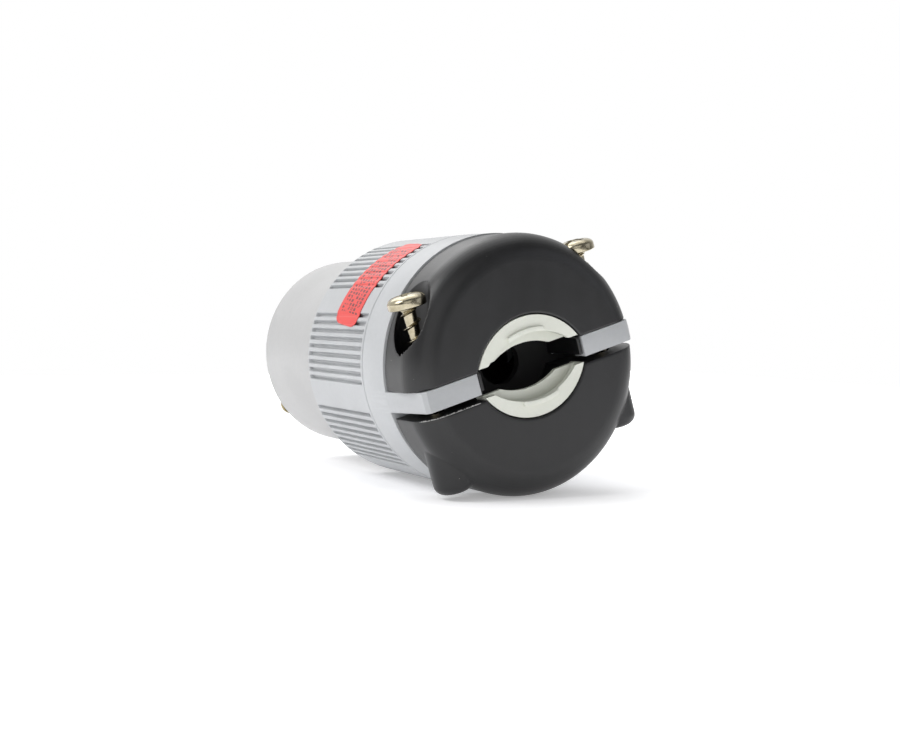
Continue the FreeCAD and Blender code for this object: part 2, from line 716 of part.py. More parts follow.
def make_clamp_lower():
    body = clamp_disc("clamp_lower", "insert_offset")
    half_space(body, LOWER_SPLIT)
    for index, side in enumerate(("-", "")):
        solid(
            body, "AdditiveCylinder", "boss_%d" % index,
            {"Radius": "boss_radius", "Height": "boss_end - boss_bevel + " + LOWER_SPLIT},
            (side + "clamp_screw_x", "boss_bevel - boss_end", SCREW_LEVEL), ALONG_Y,
        )
        solid(
            body, "AdditiveCone", "boss_tip_%d" % index,
            {"Radius1": "boss_radius - boss_bevel", "Radius2": "boss_radius",
             "Height": "boss_bevel"},
            (side + "clamp_screw_x", "-boss_end", SCREW_LEVEL), ALONG_Y,
        )
    for index, side in enumerate(("-", "")):
        solid(
            body, "SubtractiveCylinder", "thread_%d" % index,
            {"Radius": "clamp_screw_radius + thread_gap",
             "Height": "clamp_screw_length - pocket_floor + lower_drop"},
            (side + "clamp_screw_x",
             "pocket_floor - clamp_screw_length - lower_drop", SCREW_LEVEL), ALONG_Y,
        )
    keep(body, drop="lower_shift")


# The lower half is drawn about the axis and then hangs below it by lower_shift.
LOWER_SPLIT = "-arm_thickness/2 - lower_drop + lower_shift"


# The inserts: crescents that narrow the clamp for a thinner cord, with a channel behind the
# front wall and a gripping tooth behind that.

def make_insert(label, own_turn, drop=None):
    body = new_body(label)
    back = CLAMP_BACK + " - clamp_proud"
    start = new_sketch(body, "crescent_outline", height=back + " - insert_length")
    crescent(start, "insert_radius", "insert_offset", THROAT_RADIUS + " + channel_grow",
             THROAT_OFFSET, "insert_edge")
    pad_up(body, "wall", start, "insert_length")
    front = new_sketch(body, "front_outline", height=back + " - tooth_thickness")
    crescent(front, "insert_radius", "insert_offset", THROAT_RADIUS, THROAT_OFFSET,
             "insert_edge")
    pad_up(body, "front_wall", front, "tooth_thickness")
    inner = new_sketch(body, "tooth_outline", height=back + " - tooth_thickness - tooth_step")
    crescent(inner, "insert_radius", "insert_offset", TOOTH_RADIUS, TOOTH_OFFSET,
             "insert_edge")
    pad_up(body, "tooth", inner, "tooth_thickness")
    lip = new_sketch(body, "lip_outline", height=back)
    lip_outline(lip)
    pad_up(body, "lip", lip, "lip_height")
    keep(body, own_turn, drop)


def lip_outline(sketch):
    """A short raised band along the middle of an insert's inner edge."""
    offset = number(THROAT_OFFSET)
    reach = size("lip_half_width")
    centre = FreeCAD.Vector(0, -offset, 0)
    corners = []
    for radius in (number(THROAT_RADIUS), number(THROAT_RADIUS + " + lip_width")):
        rise = math.sqrt(radius**2 - reach**2)
        low = math.atan2(rise, reach)
        circle = Part.Circle(centre, FreeCAD.Vector(0, 0, 1), radius)
        sketch.addGeometry(Part.ArcOfCircle(circle, low, math.pi - low), False)
        corners.append(rise - offset)
    for sign, end in ((1, 1), (-1, 2)):
        inner = FreeCAD.Vector(sign * reach, corners[0], 0)
        outer = FreeCAD.Vector(sign * reach, corners[1], 0)
        side = sketch.addGeometry(Part.LineSegment(inner, outer), False)
        sketch.addConstraint(Sketcher.Constraint("Coincident", side, 1, 0, end))
        sketch.addConstraint(Sketcher.Constraint("Coincident", side, 2, 1, end))
        sketch.addConstraint(Sketcher.Constraint("Vertical", side))
        where = (-1, 1, side, 1) if sign > 0 else (side, 1, -1, 1)
        dimension(sketch, "DistanceX", where, "lip_half_width", reach)
    for index, radius in enumerate((THROAT_RADIUS, THROAT_RADIUS + " + lip_width")):
        sketch.addConstraint(Sketcher.Constraint("PointOnObject", index, 3, -2))
        dimension(sketch, "Radius", (index,), radius, number(radius))
        dimension(sketch, "DistanceY", (index, 3, -1, 1), THROAT_OFFSET, offset)


# Screws: a pan head and a plain shank of the thread's outside size. A screw is drawn with its
# head up, and its head seats at height zero.

def screw_outline(radius, length, head_radius, head_height, taper):
    """Radius and height of a screw's corners."""
    return [
        ("0", "-" + length),
        ("0.35*" + radius, "-" + length),
        (radius, "-%s + %s" % (length, taper)),
        (radius, "0"),
        (head_radius, "0"),
        (head_radius, "0.5*" + head_height),
        ("0.75*" + head_radius, "0.9*" + head_height),
        ("0.3*" + head_radius, head_height),
        ("0", head_height),
    ]


def make_screw(label, outline, seat, aim, own_turn=0.0):
    """A screw whose head seats at a point, with its head end aimed by a rotation."""
    body = new_body(label)
    revolve(body, "screw", outline)
    seated = FreeCAD.Placement(FreeCAD.Vector(*seat), aim)
    body.Placement = laid_down(own_turn).multiply(seated)
    pieces[label] = body


def make_clamp_screws():
    outline = screw_outline(
        "clamp_screw_radius", "clamp_screw_length", "clamp_head_radius", "clamp_head_height",
        "clamp_screw_taper",
    )
    for side, sign in (("left", -1), ("right", 1)):
        seat = (
            sign * size("clamp_screw_x"),
            number("pocket_floor + clamp_screw_out"),
            number(SCREW_LEVEL),
        )
        make_screw("clamp_screw_" + side, outline, seat, ALONG_Y)


def make_assembly_screws():
    outline = screw_outline(
        "assembly_screw_radius", "assembly_screw_length", "assembly_head_radius",
        "assembly_head_height", "2*assembly_screw_radius",
    )
    seat = (size("nose_radius") - size("assembly_inset"), 0, number("assembly_sink - assembly_screw_out"))
    for letter, half_turn in (("a", 0), ("b", 180)):
        own_turn = size("assembly_turn") + half_turn
        make_screw("assembly_screw_" + letter, outline, seat, turned(180, (1, 0, 0)), own_turn)


# The insulators: a carrier with a cavity for each contact, and a block with a bay for each
# terminal.

def make_carrier():
    body = new_body("contact_carrier")
    solid(
        body, "AdditiveCylinder", "disc",
        {"Radius": NOSE_INSIDE + " - seat_gap", "Height": "carrier_length"},
        ("0", "0", CARRIER_FRONT),
    )
    sketch = new_sketch(body, "cavity_outline", height=CARRIER_BACK)
    arc_band(sketch, "slot_radius", "cavity_width", "cavity_half_angle", "pole_turn")
    cavity = cut_down(body, "cavity", sketch, "carrier_length")
    around(body, "cavities", cavity, int(size("pole_count")))
    drill_for_assembly(body)
    keep(body)


def drill_for_assembly(body, turned_back=""):
    """Clearance holes for the two long screws, right through a piece."""
    for index, side in enumerate(("", " + 180")):
        solid(
            body, "SubtractiveCylinder", "screw_hole_%d" % index,
            {"Radius": "assembly_screw_radius + slip_gap", "Height": "body_length"},
            polar(ASSEMBLY_RADIUS, "assembly_turn" + side + turned_back),
        )


def make_block():
    body = new_body("terminal_block")
    solid(
        body, "AdditiveCylinder", "barrel",
        {"Radius": NOSE_INSIDE + " - slip_gap", "Height": "block_length"},
        ("0", "0", BLOCK_FRONT),
    )
    for pole in range(len(POLES)):
        quarter = turned(90 * pole)
        across = (("1", "0"), ("0", "1"), ("-1", "0"), ("0", "-1"))[pole]
        for name, length, width, height, start, level in (
            ("bay", "nose_radius", "bay_width", BAY_LENGTH, "bay_floor", BAY_FRONT),
            ("tail_slot", "tail_thickness + 2*seat_gap", "tail_width + 2*slip_gap",
             "bay_front + 2*seat_gap", "tail_radius - seat_gap", BLOCK_FRONT + " - seat_gap"),
        ):
            corner = turn_corner(start, "-(%s)/2" % width, across)
            solid(
                body, "SubtractiveBox", "%s_%d" % (name, pole),
                {"Length": length, "Width": width, "Height": height},
                (corner[0], corner[1], level), quarter,
            )
        hole = turn_corner("wire_radius", "0", across)
        solid(
            body, "SubtractiveCylinder", "wire_hole_%d" % pole,
            {"Radius": "wire_hole_radius", "Height": "bay_back + 2"},
            (hole[0], hole[1], BLOCK_BACK + " - bay_back - 1"),
        )
    drill_for_assembly(body, " - pole_turn")
    keep(body, size("pole_turn"))


def turn_corner(along, sideways, across):
    """A point given along and across a quarter-turned direction, as two formulas."""
    way_x, way_y = across
    x = "(%s) * (%s) - (%s) * (%s)" % (along, way_x, sideways, way_y)
    y = "(%s) * (%s) + (%s) * (%s)" % (along, way_y, sideways, way_x)
    return x, y


# The contacts: two curved spring leaves with a web behind them and a tail to the terminal.

def make_contact(pole, index):
    body = new_body("contact_" + pole)
    half = "leaf_gap/2"
    front = "face_thickness + contact_start"
    sweep = turned(-size("contact_half_angle"))
    leaves = "contact_length - leaf_thickness"
    for name, kind, radius, length in (
        ("outer_leaf", "Additive", "slot_radius + %s + leaf_thickness" % half, "contact_length"),
        ("blade_gap", "Subtractive", "slot_radius + " + half, leaves),
        ("inner_leaf", "Additive", "slot_radius - " + half, leaves),
        ("hollow", "Subtractive", "slot_radius - %s - leaf_thickness" % half, "contact_length"),
    ):
        solid(
            body, kind + "Cylinder", name,
            {"Radius": radius, "Height": length, "Angle": "2*contact_half_angle"},
            ("0", "0", front), sweep,
        )
    solid(
        body, "AdditiveBox", "tail",
        {"Length": "tail_thickness", "Width": "tail_width",
         "Height": BAY_BACK + " - tail_margin - (%s + %s)" % (front, leaves)},
        ("tail_radius", "-tail_width/2", front + " + " + leaves),
    )
    solid(
        body, "SubtractiveCylinder", "thread",
        {"Radius": "terminal_screw_radius + thread_gap", "Height": "nose_radius"},
        ("0", "0", TERMINAL_LEVEL), ALONG_X,
    )
    keep(body, size("pole_turn") + 90.0 * index)


def make_terminal(pole, index):
    own_turn = size("pole_turn") + 90.0 * index
    plate = new_body("pressure_plate_" + pole)
    start = "tail_radius + tail_thickness + plate_lift"
    solid(
        plate, "AdditiveBox", "plate",
        {"Length": "plate_thickness", "Width": "plate_size", "Height": "plate_size"},
        (start, "-plate_size/2", TERMINAL_LEVEL + " - plate_size/2"),
    )
    solid(
        plate, "SubtractiveCylinder", "screw_hole",
        {"Radius": "terminal_screw_radius + thread_gap", "Height": "2*nose_radius"},
        ("0", "0", TERMINAL_LEVEL), ALONG_X,
    )
    keep(plate, own_turn)
    outline = screw_outline(
        "terminal_screw_radius", "terminal_screw_length", "terminal_head_radius",
        "terminal_head_height", "0.5*terminal_screw_radius",
    )
    seat = (number(start + " + plate_thickness"), 0, number(TERMINAL_LEVEL))
    make_screw("terminal_screw_" + pole, outline, seat, ALONG_X, own_turn)


# The label: a thin film wrapped over the ribs, a little askew. It is a block with rounded
# corners that stands out from the axis, cut down to the film.

def make_label():
    body = new_body("warning_label")
    middle = SEAM + " - label_to_seam"
    tilt = "label_skew * 1 deg"
    half_width = "label_width/2"
    half_length = "label_length/2"
    across = "-%s * cos(%s) - %s * sin(%s)" % (half_length, tilt, half_width, tilt)
    along = "%s + %s * sin(%s) - %s * cos(%s)" % (middle, half_length, tilt, half_width, tilt)
    block = solid(
        body, "AdditiveBox", "block",
        {"Length": "2*grip_radius", "Width": "label_length", "Height": "label_width"},
        ("0", across, along), turned(-size("label_skew"), (1, 0, 0)),
    )
    round_edges(
        body, "corners", block, "label_corner",
        lambda edge: abs(edge.Length - 2 * size("grip_radius")) < TOLERANCE,
    )
    solid(
        body, "SubtractiveCylinder", "inside",
        {"Radius": "grip_radius + label_lift", "Height": "2*body_length"}, ("0", "0", "0"),
    )
    outside = [
        ("grip_radius + label_lift + label_thickness", "0"),
        ("4*grip_radius", "0"),
        ("4*grip_radius", "2*body_length"),
        ("grip_radius + label_lift + label_thickness", "2*body_length"),
    ]
    revolve(body, "outside", outside, cut=True)
    keep(body, size("label_turn"))


make_nose()
make_grip()
make_collar()
make_seal()
make_clamp_upper()
make_clamp_lower()
make_insert("insert_upper", 0.0)
make_insert("insert_lower", 180.0, "lower_shift")
make_clamp_screws()
make_assembly_screws()
make_carrier()
make_block()
for pole_index, pole_name in enumerate(POLES):
    make_contact(pole_name, pole_index)
    make_terminal(pole_name, pole_index)
make_label()
doc.recompute()

for item in doc.Objects:
    if "Invalid" in item.State or "Error" in item.State:
        raise RuntimeError("%s failed to build: %s" % (item.Label, item.State))

os.makedirs("parts", exist_ok=True)
for label, piece in pieces.items():
    shape = piece.Shape
    if shape.isNull() or not shape.isValid() or len(shape.Solids) != 1:
        raise RuntimeError(label + " isn't one valid solid")
    shape.exportStep("parts/%s.step" % label)
    print("%-24s %10.1f mm3" % (label, shape.Volume))
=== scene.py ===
# %% [markdown]
# A twist-lock cord connector, lying on a pale studio floor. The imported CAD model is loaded
# first as a fixed frame: it says how large the connector is and where every piece sits. The
# pieces that show are then made again with finer meshes, and each gets the finish of the
# material that the real piece is moulded, stamped or printed from.

import json
import math
import random

import bmesh
import bpy
from mathutils import Matrix, Vector


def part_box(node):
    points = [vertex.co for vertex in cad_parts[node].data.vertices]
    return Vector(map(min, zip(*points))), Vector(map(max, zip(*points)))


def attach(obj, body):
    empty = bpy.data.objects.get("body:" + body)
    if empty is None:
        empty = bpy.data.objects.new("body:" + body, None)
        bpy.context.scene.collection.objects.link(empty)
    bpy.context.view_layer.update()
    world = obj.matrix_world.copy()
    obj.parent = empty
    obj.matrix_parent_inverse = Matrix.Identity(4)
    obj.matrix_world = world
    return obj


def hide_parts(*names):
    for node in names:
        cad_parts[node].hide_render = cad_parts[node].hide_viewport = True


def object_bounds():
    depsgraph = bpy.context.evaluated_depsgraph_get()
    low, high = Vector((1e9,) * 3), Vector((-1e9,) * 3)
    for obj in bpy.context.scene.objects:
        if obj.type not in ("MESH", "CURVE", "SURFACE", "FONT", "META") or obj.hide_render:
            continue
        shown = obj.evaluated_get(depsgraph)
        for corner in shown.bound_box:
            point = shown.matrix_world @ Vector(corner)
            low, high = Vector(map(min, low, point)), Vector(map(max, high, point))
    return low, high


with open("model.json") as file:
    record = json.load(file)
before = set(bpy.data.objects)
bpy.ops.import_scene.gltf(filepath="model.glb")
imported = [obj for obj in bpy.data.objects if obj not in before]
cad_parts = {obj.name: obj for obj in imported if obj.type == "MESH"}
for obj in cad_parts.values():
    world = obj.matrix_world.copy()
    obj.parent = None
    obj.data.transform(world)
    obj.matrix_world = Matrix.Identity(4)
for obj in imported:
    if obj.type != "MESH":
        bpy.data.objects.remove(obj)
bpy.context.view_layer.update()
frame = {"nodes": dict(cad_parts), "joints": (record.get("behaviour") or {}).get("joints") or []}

# %% [markdown]
# Most pieces are round about the connector's axis, so they are easiest to draw in the
# connector's own frame: X and Y across the axis, Z along it in millimetres, from the mating
# face to the cord end. One matrix then lays a finished mesh down in the shared frame. The roll
# is read from the direction in which the upper clamp half opens.

# %% The connector's own frame
MM = 0.001
opening = next(j for j in frame["joints"] if j["name"] == "clamp_top_slide")["axis"]
roll = math.atan2(-opening[0], opening[2])
LAY_DOWN = Matrix((
    (math.cos(roll) * MM, -math.sin(roll) * MM, 0, 0),
    (0, 0, -MM, 0),
    (math.sin(roll) * MM, math.cos(roll) * MM, 0, 0),
    (0, 0, 0, 1),
))
print("rolled by %.1f degrees" % math.degrees(roll))


def span(node):
    """A CAD node's radius across the axis and its first and last height along it, in mm."""
    low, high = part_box(node)
    return (high.x - low.x) / 2 / MM, -high.y / MM, -low.y / MM


NOSE_RADIUS, _, NOSE_BACK = span("nose_shell")
GRIP_RADIUS, GRIP_FRONT, SEAM = span("grip_shell")
BODY_LENGTH = span("rear_collar")[2]
CLAMP_FRONT, CLAMP_BACK = span("clamp_upper")[1:]
print("nose %.1f mm, grip %.1f mm, %.1f mm long" % (2 * NOSE_RADIUS, 2 * GRIP_RADIUS, BODY_LENGTH))

# %% [markdown]
# The camera looks at the cord end from its left, almost level with the connector, through a
# lens a little longer than normal. The plain display transform keeps the paint values as they
# are mixed below, and lets the brightest parts of the set go to pure white.

# %% Camera
CAMERA_PLACE = Vector((-147.3, -333.3, 10.5)) * MM
CAMERA_AIM = Vector((-4.3, -67.8, -2.0)) * MM
CAMERA_TILT = math.radians(0.84)
LENS_MM = 52.0

camera = bpy.data.objects.new("camera", bpy.data.cameras.new("camera"))
camera.data.lens = LENS_MM
camera.data.clip_start = 0.01
camera.location = CAMERA_PLACE
look = (CAMERA_AIM - CAMERA_PLACE).to_track_quat("-Z", "Y").to_matrix()
camera.rotation_euler = (look @ Matrix.Rotation(CAMERA_TILT, 3, "Z")).to_euler()
bpy.context.scene.collection.objects.link(camera)
bpy.context.scene.camera = camera
bpy.context.scene.view_settings.view_transform = "Standard"
print("camera %.0f mm from the connector" % ((CAMERA_AIM - CAMERA_PLACE).length / MM))

# %% [markdown]
# Meshes are made with bmesh. A lathe turns an outline about the axis, a prism raises an outline
# along it, and Boolean modifiers join and cut them, as a mould maker adds and removes material.

# %% Mesh helpers
ROUND_STEPS = 192


def to_object(name, bm):
    """A scene object from a bmesh, still in the connector's own frame."""
    bmesh.ops.remove_doubles(bm, verts=bm.verts, dist=1e-4)
    bmesh.ops.recalc_face_normals(bm, faces=bm.faces)
    mesh = bpy.data.meshes.new(name)
    bm.to_mesh(mesh)
    bm.free()
    obj = bpy.data.objects.new(name, mesh)
    bpy.context.scene.collection.objects.link(obj)
    return obj


def lathe(name, outline, steps=ROUND_STEPS, radius_at=None):
    """Turn a closed outline of (radius, height) about the axis."""
    bm = bmesh.new()
    rings = []
    for radius, height in outline:
        ring = []
        for step in range(steps):
            angle = math.tau * step / steps
            reach = radius_at(radius, height, angle) if radius_at else radius
            ring.append(bm.verts.new((reach * math.cos(angle), reach * math.sin(angle), height)))
        rings.append(ring)
    for index, ring in enumerate(rings):
        after = rings[(index + 1) % len(rings)]
        for step in range(steps):
            follow = (step + 1) % steps
            bm.faces.new((ring[step], ring[follow], after[follow], after[step]))
    return to_object(name, bm)


def prism(name, outline, low, high):
    """Raise a closed outline of (x, y) from one height to another."""
    bm = bmesh.new()
    bottom = [bm.verts.new((x, y, low)) for x, y in outline]
    top = [bm.verts.new((x, y, high)) for x, y in outline]
    bm.faces.new(bottom)
    bm.faces.new(top)
    for index in range(len(outline)):
        after = (index + 1) % len(outline)
        bm.faces.new((bottom[index], bottom[after], top[after], top[index]))
    return to_object(name, bm)


def arc(centre, radius, start, end, steps):
    """Points on an arc, with its angles in degrees."""
    points = []
    for step in range(steps + 1):
        angle = math.radians(start + (end - start) * step / steps)
        points.append((centre[0] + radius * math.cos(angle), centre[1] + radius * math.sin(angle)))
    return points


def settle(obj):
    """Replace an object's mesh by what its modifiers make of it."""
    graph = bpy.context.evaluated_depsgraph_get()
    mesh = bpy.data.meshes.new_from_object(obj.evaluated_get(graph))
    obj.modifiers.clear()
    obj.data = mesh
    return obj


def combine(base, others, operation):
    """Join other objects to a base, or cut them from it."""
    for other in others:
        modifier = base.modifiers.new(operation, "BOOLEAN")
        modifier.operation = operation
        modifier.solver = "EXACT"
        modifier.object = other
        settle(base)
        bpy.data.objects.remove(other)
    return base


def soften(obj, voxel, passes=2):
    """Round every edge a little, as a moulded edge is: remesh finely, then smooth."""
    remesh = obj.modifiers.new("remesh", "REMESH")
    remesh.mode = "VOXEL"
    remesh.voxel_size = voxel
    smooth = obj.modifiers.new("smooth", "SMOOTH")
    smooth.factor = 0.5
    smooth.iterations = passes
    return settle(obj)


def bevel(obj, width, segments=3, angle=32):
    """Round the sharp edges of an object."""
    modifier = obj.modifiers.new("bevel", "BEVEL")
    modifier.width = width
    modifier.segments = segments
    modifier.limit_method = "ANGLE"
    modifier.angle_limit = math.radians(angle)
    return settle(obj)


def shade(obj, angle=30):
    """Smooth shading, with edges sharper than an angle left crisp."""
    bm = bmesh.new()
    bm.from_mesh(obj.data)
    for face in bm.faces:
        face.smooth = True
    for edge in bm.edges:
        bend = edge.calc_face_angle(0.0) if len(edge.link_faces) == 2 else 0.0
        edge.smooth = bend < math.radians(angle)
    bm.to_mesh(obj.data)
    bm.free()
    return obj


def install(obj, body, material, nodes=()):
    """Lay a finished piece down, give it its finish and let it ride on its body."""
    obj.data.transform(LAY_DOWN)
    obj.data.materials.clear()
    obj.data.materials.append(material)
    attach(obj, body)
    if nodes:
        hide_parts(*nodes)
    print("%-20s %7d faces" % (obj.name, len(obj.data.polygons)))
    return obj


# %% [markdown]
# A material is a small tree of nodes. One function turns a hex colour, as a paint chart gives
# it, into the linear values that a shader needs, and one adds a node with its settings and
# links.

# %% Material helpers
def linear(code):
    """A hex colour as linear red, green, blue and alpha."""
    values = []
    for start in (1, 3, 5):
        part = int(code[start:start + 2], 16) / 255
        values.append(part / 12.92 if part <= 0.04045 else ((part + 0.055) / 1.055) ** 2.4)
    return (*values, 1.0)


def add(tree, kind, settings=None, links=None):
    """Add a node, set its properties and input values, and link its inputs."""
    node = tree.nodes.new(kind)
    for key, value in (settings or {}).items():
        if isinstance(key, int) or key in node.inputs:
            node.inputs[key].default_value = value
        else:
            setattr(node, key, value)
    for key, socket in (links or {}).items():
        tree.links.new(socket, node.inputs[key])
    return node


def new_material(name):
    """An empty material and its node tree."""
    material = bpy.data.materials.new(name)
    material.use_nodes = True
    material.node_tree.nodes.clear()
    return material, material.node_tree


def finish(tree, settings, links):
    """End a tree with a principled shader."""
    shader = add(tree, "ShaderNodeBsdfPrincipled", settings, links)
    add(tree, "ShaderNodeOutputMaterial", None, {"Surface": shader.outputs["BSDF"]})


def per_metre(millimetres):
    """A texture's scale that gives its pattern a size in millimetres."""
    return 1.0 / (millimetres * MM)


# %% [markdown]
# Glass-filled nylon, injection moulded. The mould is spark eroded, which leaves a grain of
# about a quarter of a millimetre: it gives the eye a soft, even sheen with no sharp
# reflections. Handling and slow cooling make broad patches a shade lighter or darker.

# %% Moulded nylon
def moulded_nylon(name, light, dark, roughness, grain_mm=0.25, grain_depth=0.004, coat=0.0):
    material, tree = new_material(name)
    place = add(tree, "ShaderNodeTexCoord").outputs["Object"]
    patches = add(tree, "ShaderNodeTexNoise", {"Scale": per_metre(14), "Detail": 3.0}, {"Vector": place})
    fine = add(tree, "ShaderNodeTexNoise", {"Scale": per_metre(0.9), "Detail": 4.0}, {"Vector": place})
    both = add(tree, "ShaderNodeMath", {"operation": "MULTIPLY_ADD", 1: 0.35},
               {0: fine.outputs["Fac"], 2: patches.outputs["Fac"]})
    tone = add(tree, "ShaderNodeMapRange", {"From Min": 0.45, "From Max": 0.9},
               {"Value": both.outputs[0]})
    colour = add(tree, "ShaderNodeMix", {"data_type": "RGBA", "A": linear(dark), "B": linear(light)},
                 {"Factor": tone.outputs[0]})
    gloss = add(tree, "ShaderNodeMapRange", {"To Min": roughness - 0.05, "To Max": roughness + 0.06},
                {"Value": patches.outputs["Fac"]})
    grain = add(tree, "ShaderNodeTexNoise", {"Scale": per_metre(grain_mm), "Detail": 3.0},
                {"Vector": place})
    bump = add(tree, "ShaderNodeBump", {"Strength": 0.6, "Distance": grain_depth * MM},
               {"Height": grain.outputs["Fac"]})
    finish(tree, {"IOR": 1.53, "Coat Weight": coat, "Coat Roughness": 0.25},
           {"Base Color": colour.outputs[2], "Roughness": gloss.outputs[0], "Normal": bump.outputs[0]})
    return material


housing_nylon = moulded_nylon("grey_nylon_housing", "#B2B4B6", "#A8AAAC", 0.42)
nose_nylon = moulded_nylon("grey_nylon_nose", "#B0B0B0", "#A6A6A6", 0.45)
insert_nylon = moulded_nylon("ivory_nylon_insert", "#E2E4DA", "#D9DBD0", 0.38)
insulator_thermoset = moulded_nylon("black_thermoset", "#2B2B2C", "#232324", 0.35)

# %% [markdown]
# The clamp halves are black nylon with a coarser grain. Black shows what grey hides: pale dust in
# the grain. Soft lighter streaks that run upright are a painted sheen in the colour, and they also
# vary the gloss. The specks are a cell texture that keeps only the middles of a few cells.

# %% Black clamp nylon
def black_nylon(name):
    material, tree = new_material(name)
    place = add(tree, "ShaderNodeTexCoord").outputs["Object"]
    patches = add(tree, "ShaderNodeTexNoise", {"Scale": per_metre(11), "Detail": 4.0, "Roughness": 0.6},
                  {"Vector": place})
    # Painted sheen: streaks stretched upright lighten the black colour as streaks of sheen would, and vary
    # its gloss.
    stretched = add(tree, "ShaderNodeMapping", {"Scale": (1.0, 1.0, 0.16)}, {"Vector": place})
    sheen_streaks = add(tree, "ShaderNodeTexNoise", {"Scale": per_metre(3.0), "Detail": 3.0},
                  {"Vector": stretched.outputs[0]})
    both = add(tree, "ShaderNodeMath", {"operation": "MULTIPLY_ADD", 1: 0.5},
               {0: sheen_streaks.outputs["Fac"], 2: patches.outputs["Fac"]})
    tone = add(tree, "ShaderNodeMapRange", {"From Min": 0.5, "From Max": 1.0},
               {"Value": both.outputs[0]})
    ground = add(tree, "ShaderNodeMix", {"data_type": "RGBA", "A": linear("#0B0B0C"), "B": linear("#161618")},
                 {"Factor": tone.outputs[0]})
    cells = add(tree, "ShaderNodeTexVoronoi", {"Scale": per_metre(1.6)}, {"Vector": place})
    speck = add(tree, "ShaderNodeMapRange", {"From Min": 0.07, "From Max": 0.03},
                {"Value": cells.outputs["Distance"]})
    chosen = add(tree, "ShaderNodeMath", {"operation": "GREATER_THAN", 1: 0.72},
                 {0: cells.outputs["Color"]})
    dust = add(tree, "ShaderNodeMath", {"operation": "MULTIPLY"},
               {0: speck.outputs[0], 1: chosen.outputs[0]})
    colour = add(tree, "ShaderNodeMix", {"data_type": "RGBA", "B": linear("#8E8E8A")},
                 {"Factor": dust.outputs[0], "A": ground.outputs[2]})
    gloss = add(tree, "ShaderNodeMapRange", {"To Min": 0.26, "To Max": 0.42}, {"Value": both.outputs[0]})
    grain = add(tree, "ShaderNodeTexNoise", {"Scale": per_metre(0.32), "Detail": 3.0}, {"Vector": place})
    bump = add(tree, "ShaderNodeBump", {"Strength": 0.7, "Distance": 0.010 * MM},
               {"Height": grain.outputs["Fac"]})
    finish(tree, {"IOR": 1.53},
           {"Base Color": colour.outputs[2], "Roughness": gloss.outputs[0], "Normal": bump.outputs[0]})
    return material


clamp_nylon = black_nylon("black_nylon_clamp")

# %% [markdown]
# Plated and turned metals. Metallic is 1, the colour is the metal's own reflection, and the
# roughness says how bright the plating is. Fine scratches run round a turned head, and the
# recesses of a plated screw are duller, so the noise changes both colour and roughness.

# %% Metals
def metal(name, light, dark, roughness, patch_mm=1.2):
    material, tree = new_material(name)
    place = add(tree, "ShaderNodeTexCoord").outputs["Object"]
    patches = add(tree, "ShaderNodeTexNoise", {"Scale": per_metre(patch_mm), "Detail": 5.0},
                  {"Vector": place})
    colour = add(tree, "ShaderNodeMix", {"data_type": "RGBA", "A": linear(dark), "B": linear(light)},
                 {"Factor": patches.outputs["Fac"]})
    gloss = add(tree, "ShaderNodeMapRange", {"To Min": roughness - 0.07, "To Max": roughness + 0.1},
                {"Value": patches.outputs["Fac"]})
    scratches = add(tree, "ShaderNodeTexNoise", {"Scale": per_metre(0.15), "Detail": 2.0},
                    {"Vector": place})
    bump = add(tree, "ShaderNodeBump", {"Strength": 0.4, "Distance": 0.004 * MM},
               {"Height": scratches.outputs["Fac"]})
    finish(tree, {"Metallic": 1.0},
           {"Base Color": colour.outputs[2], "Roughness": gloss.outputs[0], "Normal": bump.outputs[0]})
    return material


nickel_plate = metal("bright_nickel_plate", "#C6BEA8", "#80775F", 0.2)
dull_brass = metal("dull_brass_plate", "#A89A6C", "#6E6444", 0.32)
contact_brass = metal("stamped_brass", "#DDBE7C", "#C4A263", 0.28)
zinc_plate = metal("zinc_plate", "#C9CBCD", "#A9ACB0", 0.34)
green_dye = metal("green_dyed_brass", "#3F7A4A", "#2C5C36", 0.34)

# %% [markdown]
# The cord seal is soft black rubber: almost no gloss and a faint mottle.

# %% Rubber
def soft_rubber(name):
    material, tree = new_material(name)
    place = add(tree, "ShaderNodeTexCoord").outputs["Object"]
    mottle = add(tree, "ShaderNodeTexNoise", {"Scale": per_metre(2.0), "Detail": 4.0}, {"Vector": place})
    colour = add(tree, "ShaderNodeMix", {"data_type": "RGBA", "A": linear("#0F0F10"), "B": linear("#1A1A1B")},
                 {"Factor": mottle.outputs["Fac"]})
    bump = add(tree, "ShaderNodeBump", {"Strength": 0.5, "Distance": 0.02 * MM},
               {"Height": mottle.outputs["Fac"]})
    finish(tree, {"IOR": 1.52, "Roughness": 0.75},
           {"Base Color": colour.outputs[2], "Normal": bump.outputs[0]})
    return material


seal_rubber = soft_rubber("black_rubber")

# %% [markdown]
# The grip is a sleeve with eight groups of nine fine grooves and a plain land between groups.
# It is a lathe whose radius depends on the angle: each groove has steep sides, a narrow root
# and flat ribs beside it. The grooves stop short of both ends, which leaves a thin lip.

# %% Grip shell
GROUPS = 8
PITCHES_PER_GROUP = 12
GROOVES_PER_GROUP = 9
GROOVE_DEPTH = 0.9
GROOVE_MOUTH = 1.15
GROOVE_ROOT = 0.45
GROOVE_MARGIN = 0.9
GROOVE_RAMP = 0.4
GRIP_EDGE = 0.9
SEAM_BEVEL = 0.3
GRIP_BORE = NOSE_RADIUS + 0.3
SAMPLES_PER_PITCH = 18
PITCH_MM = math.tau * GRIP_RADIUS / (GROUPS * PITCHES_PER_GROUP)


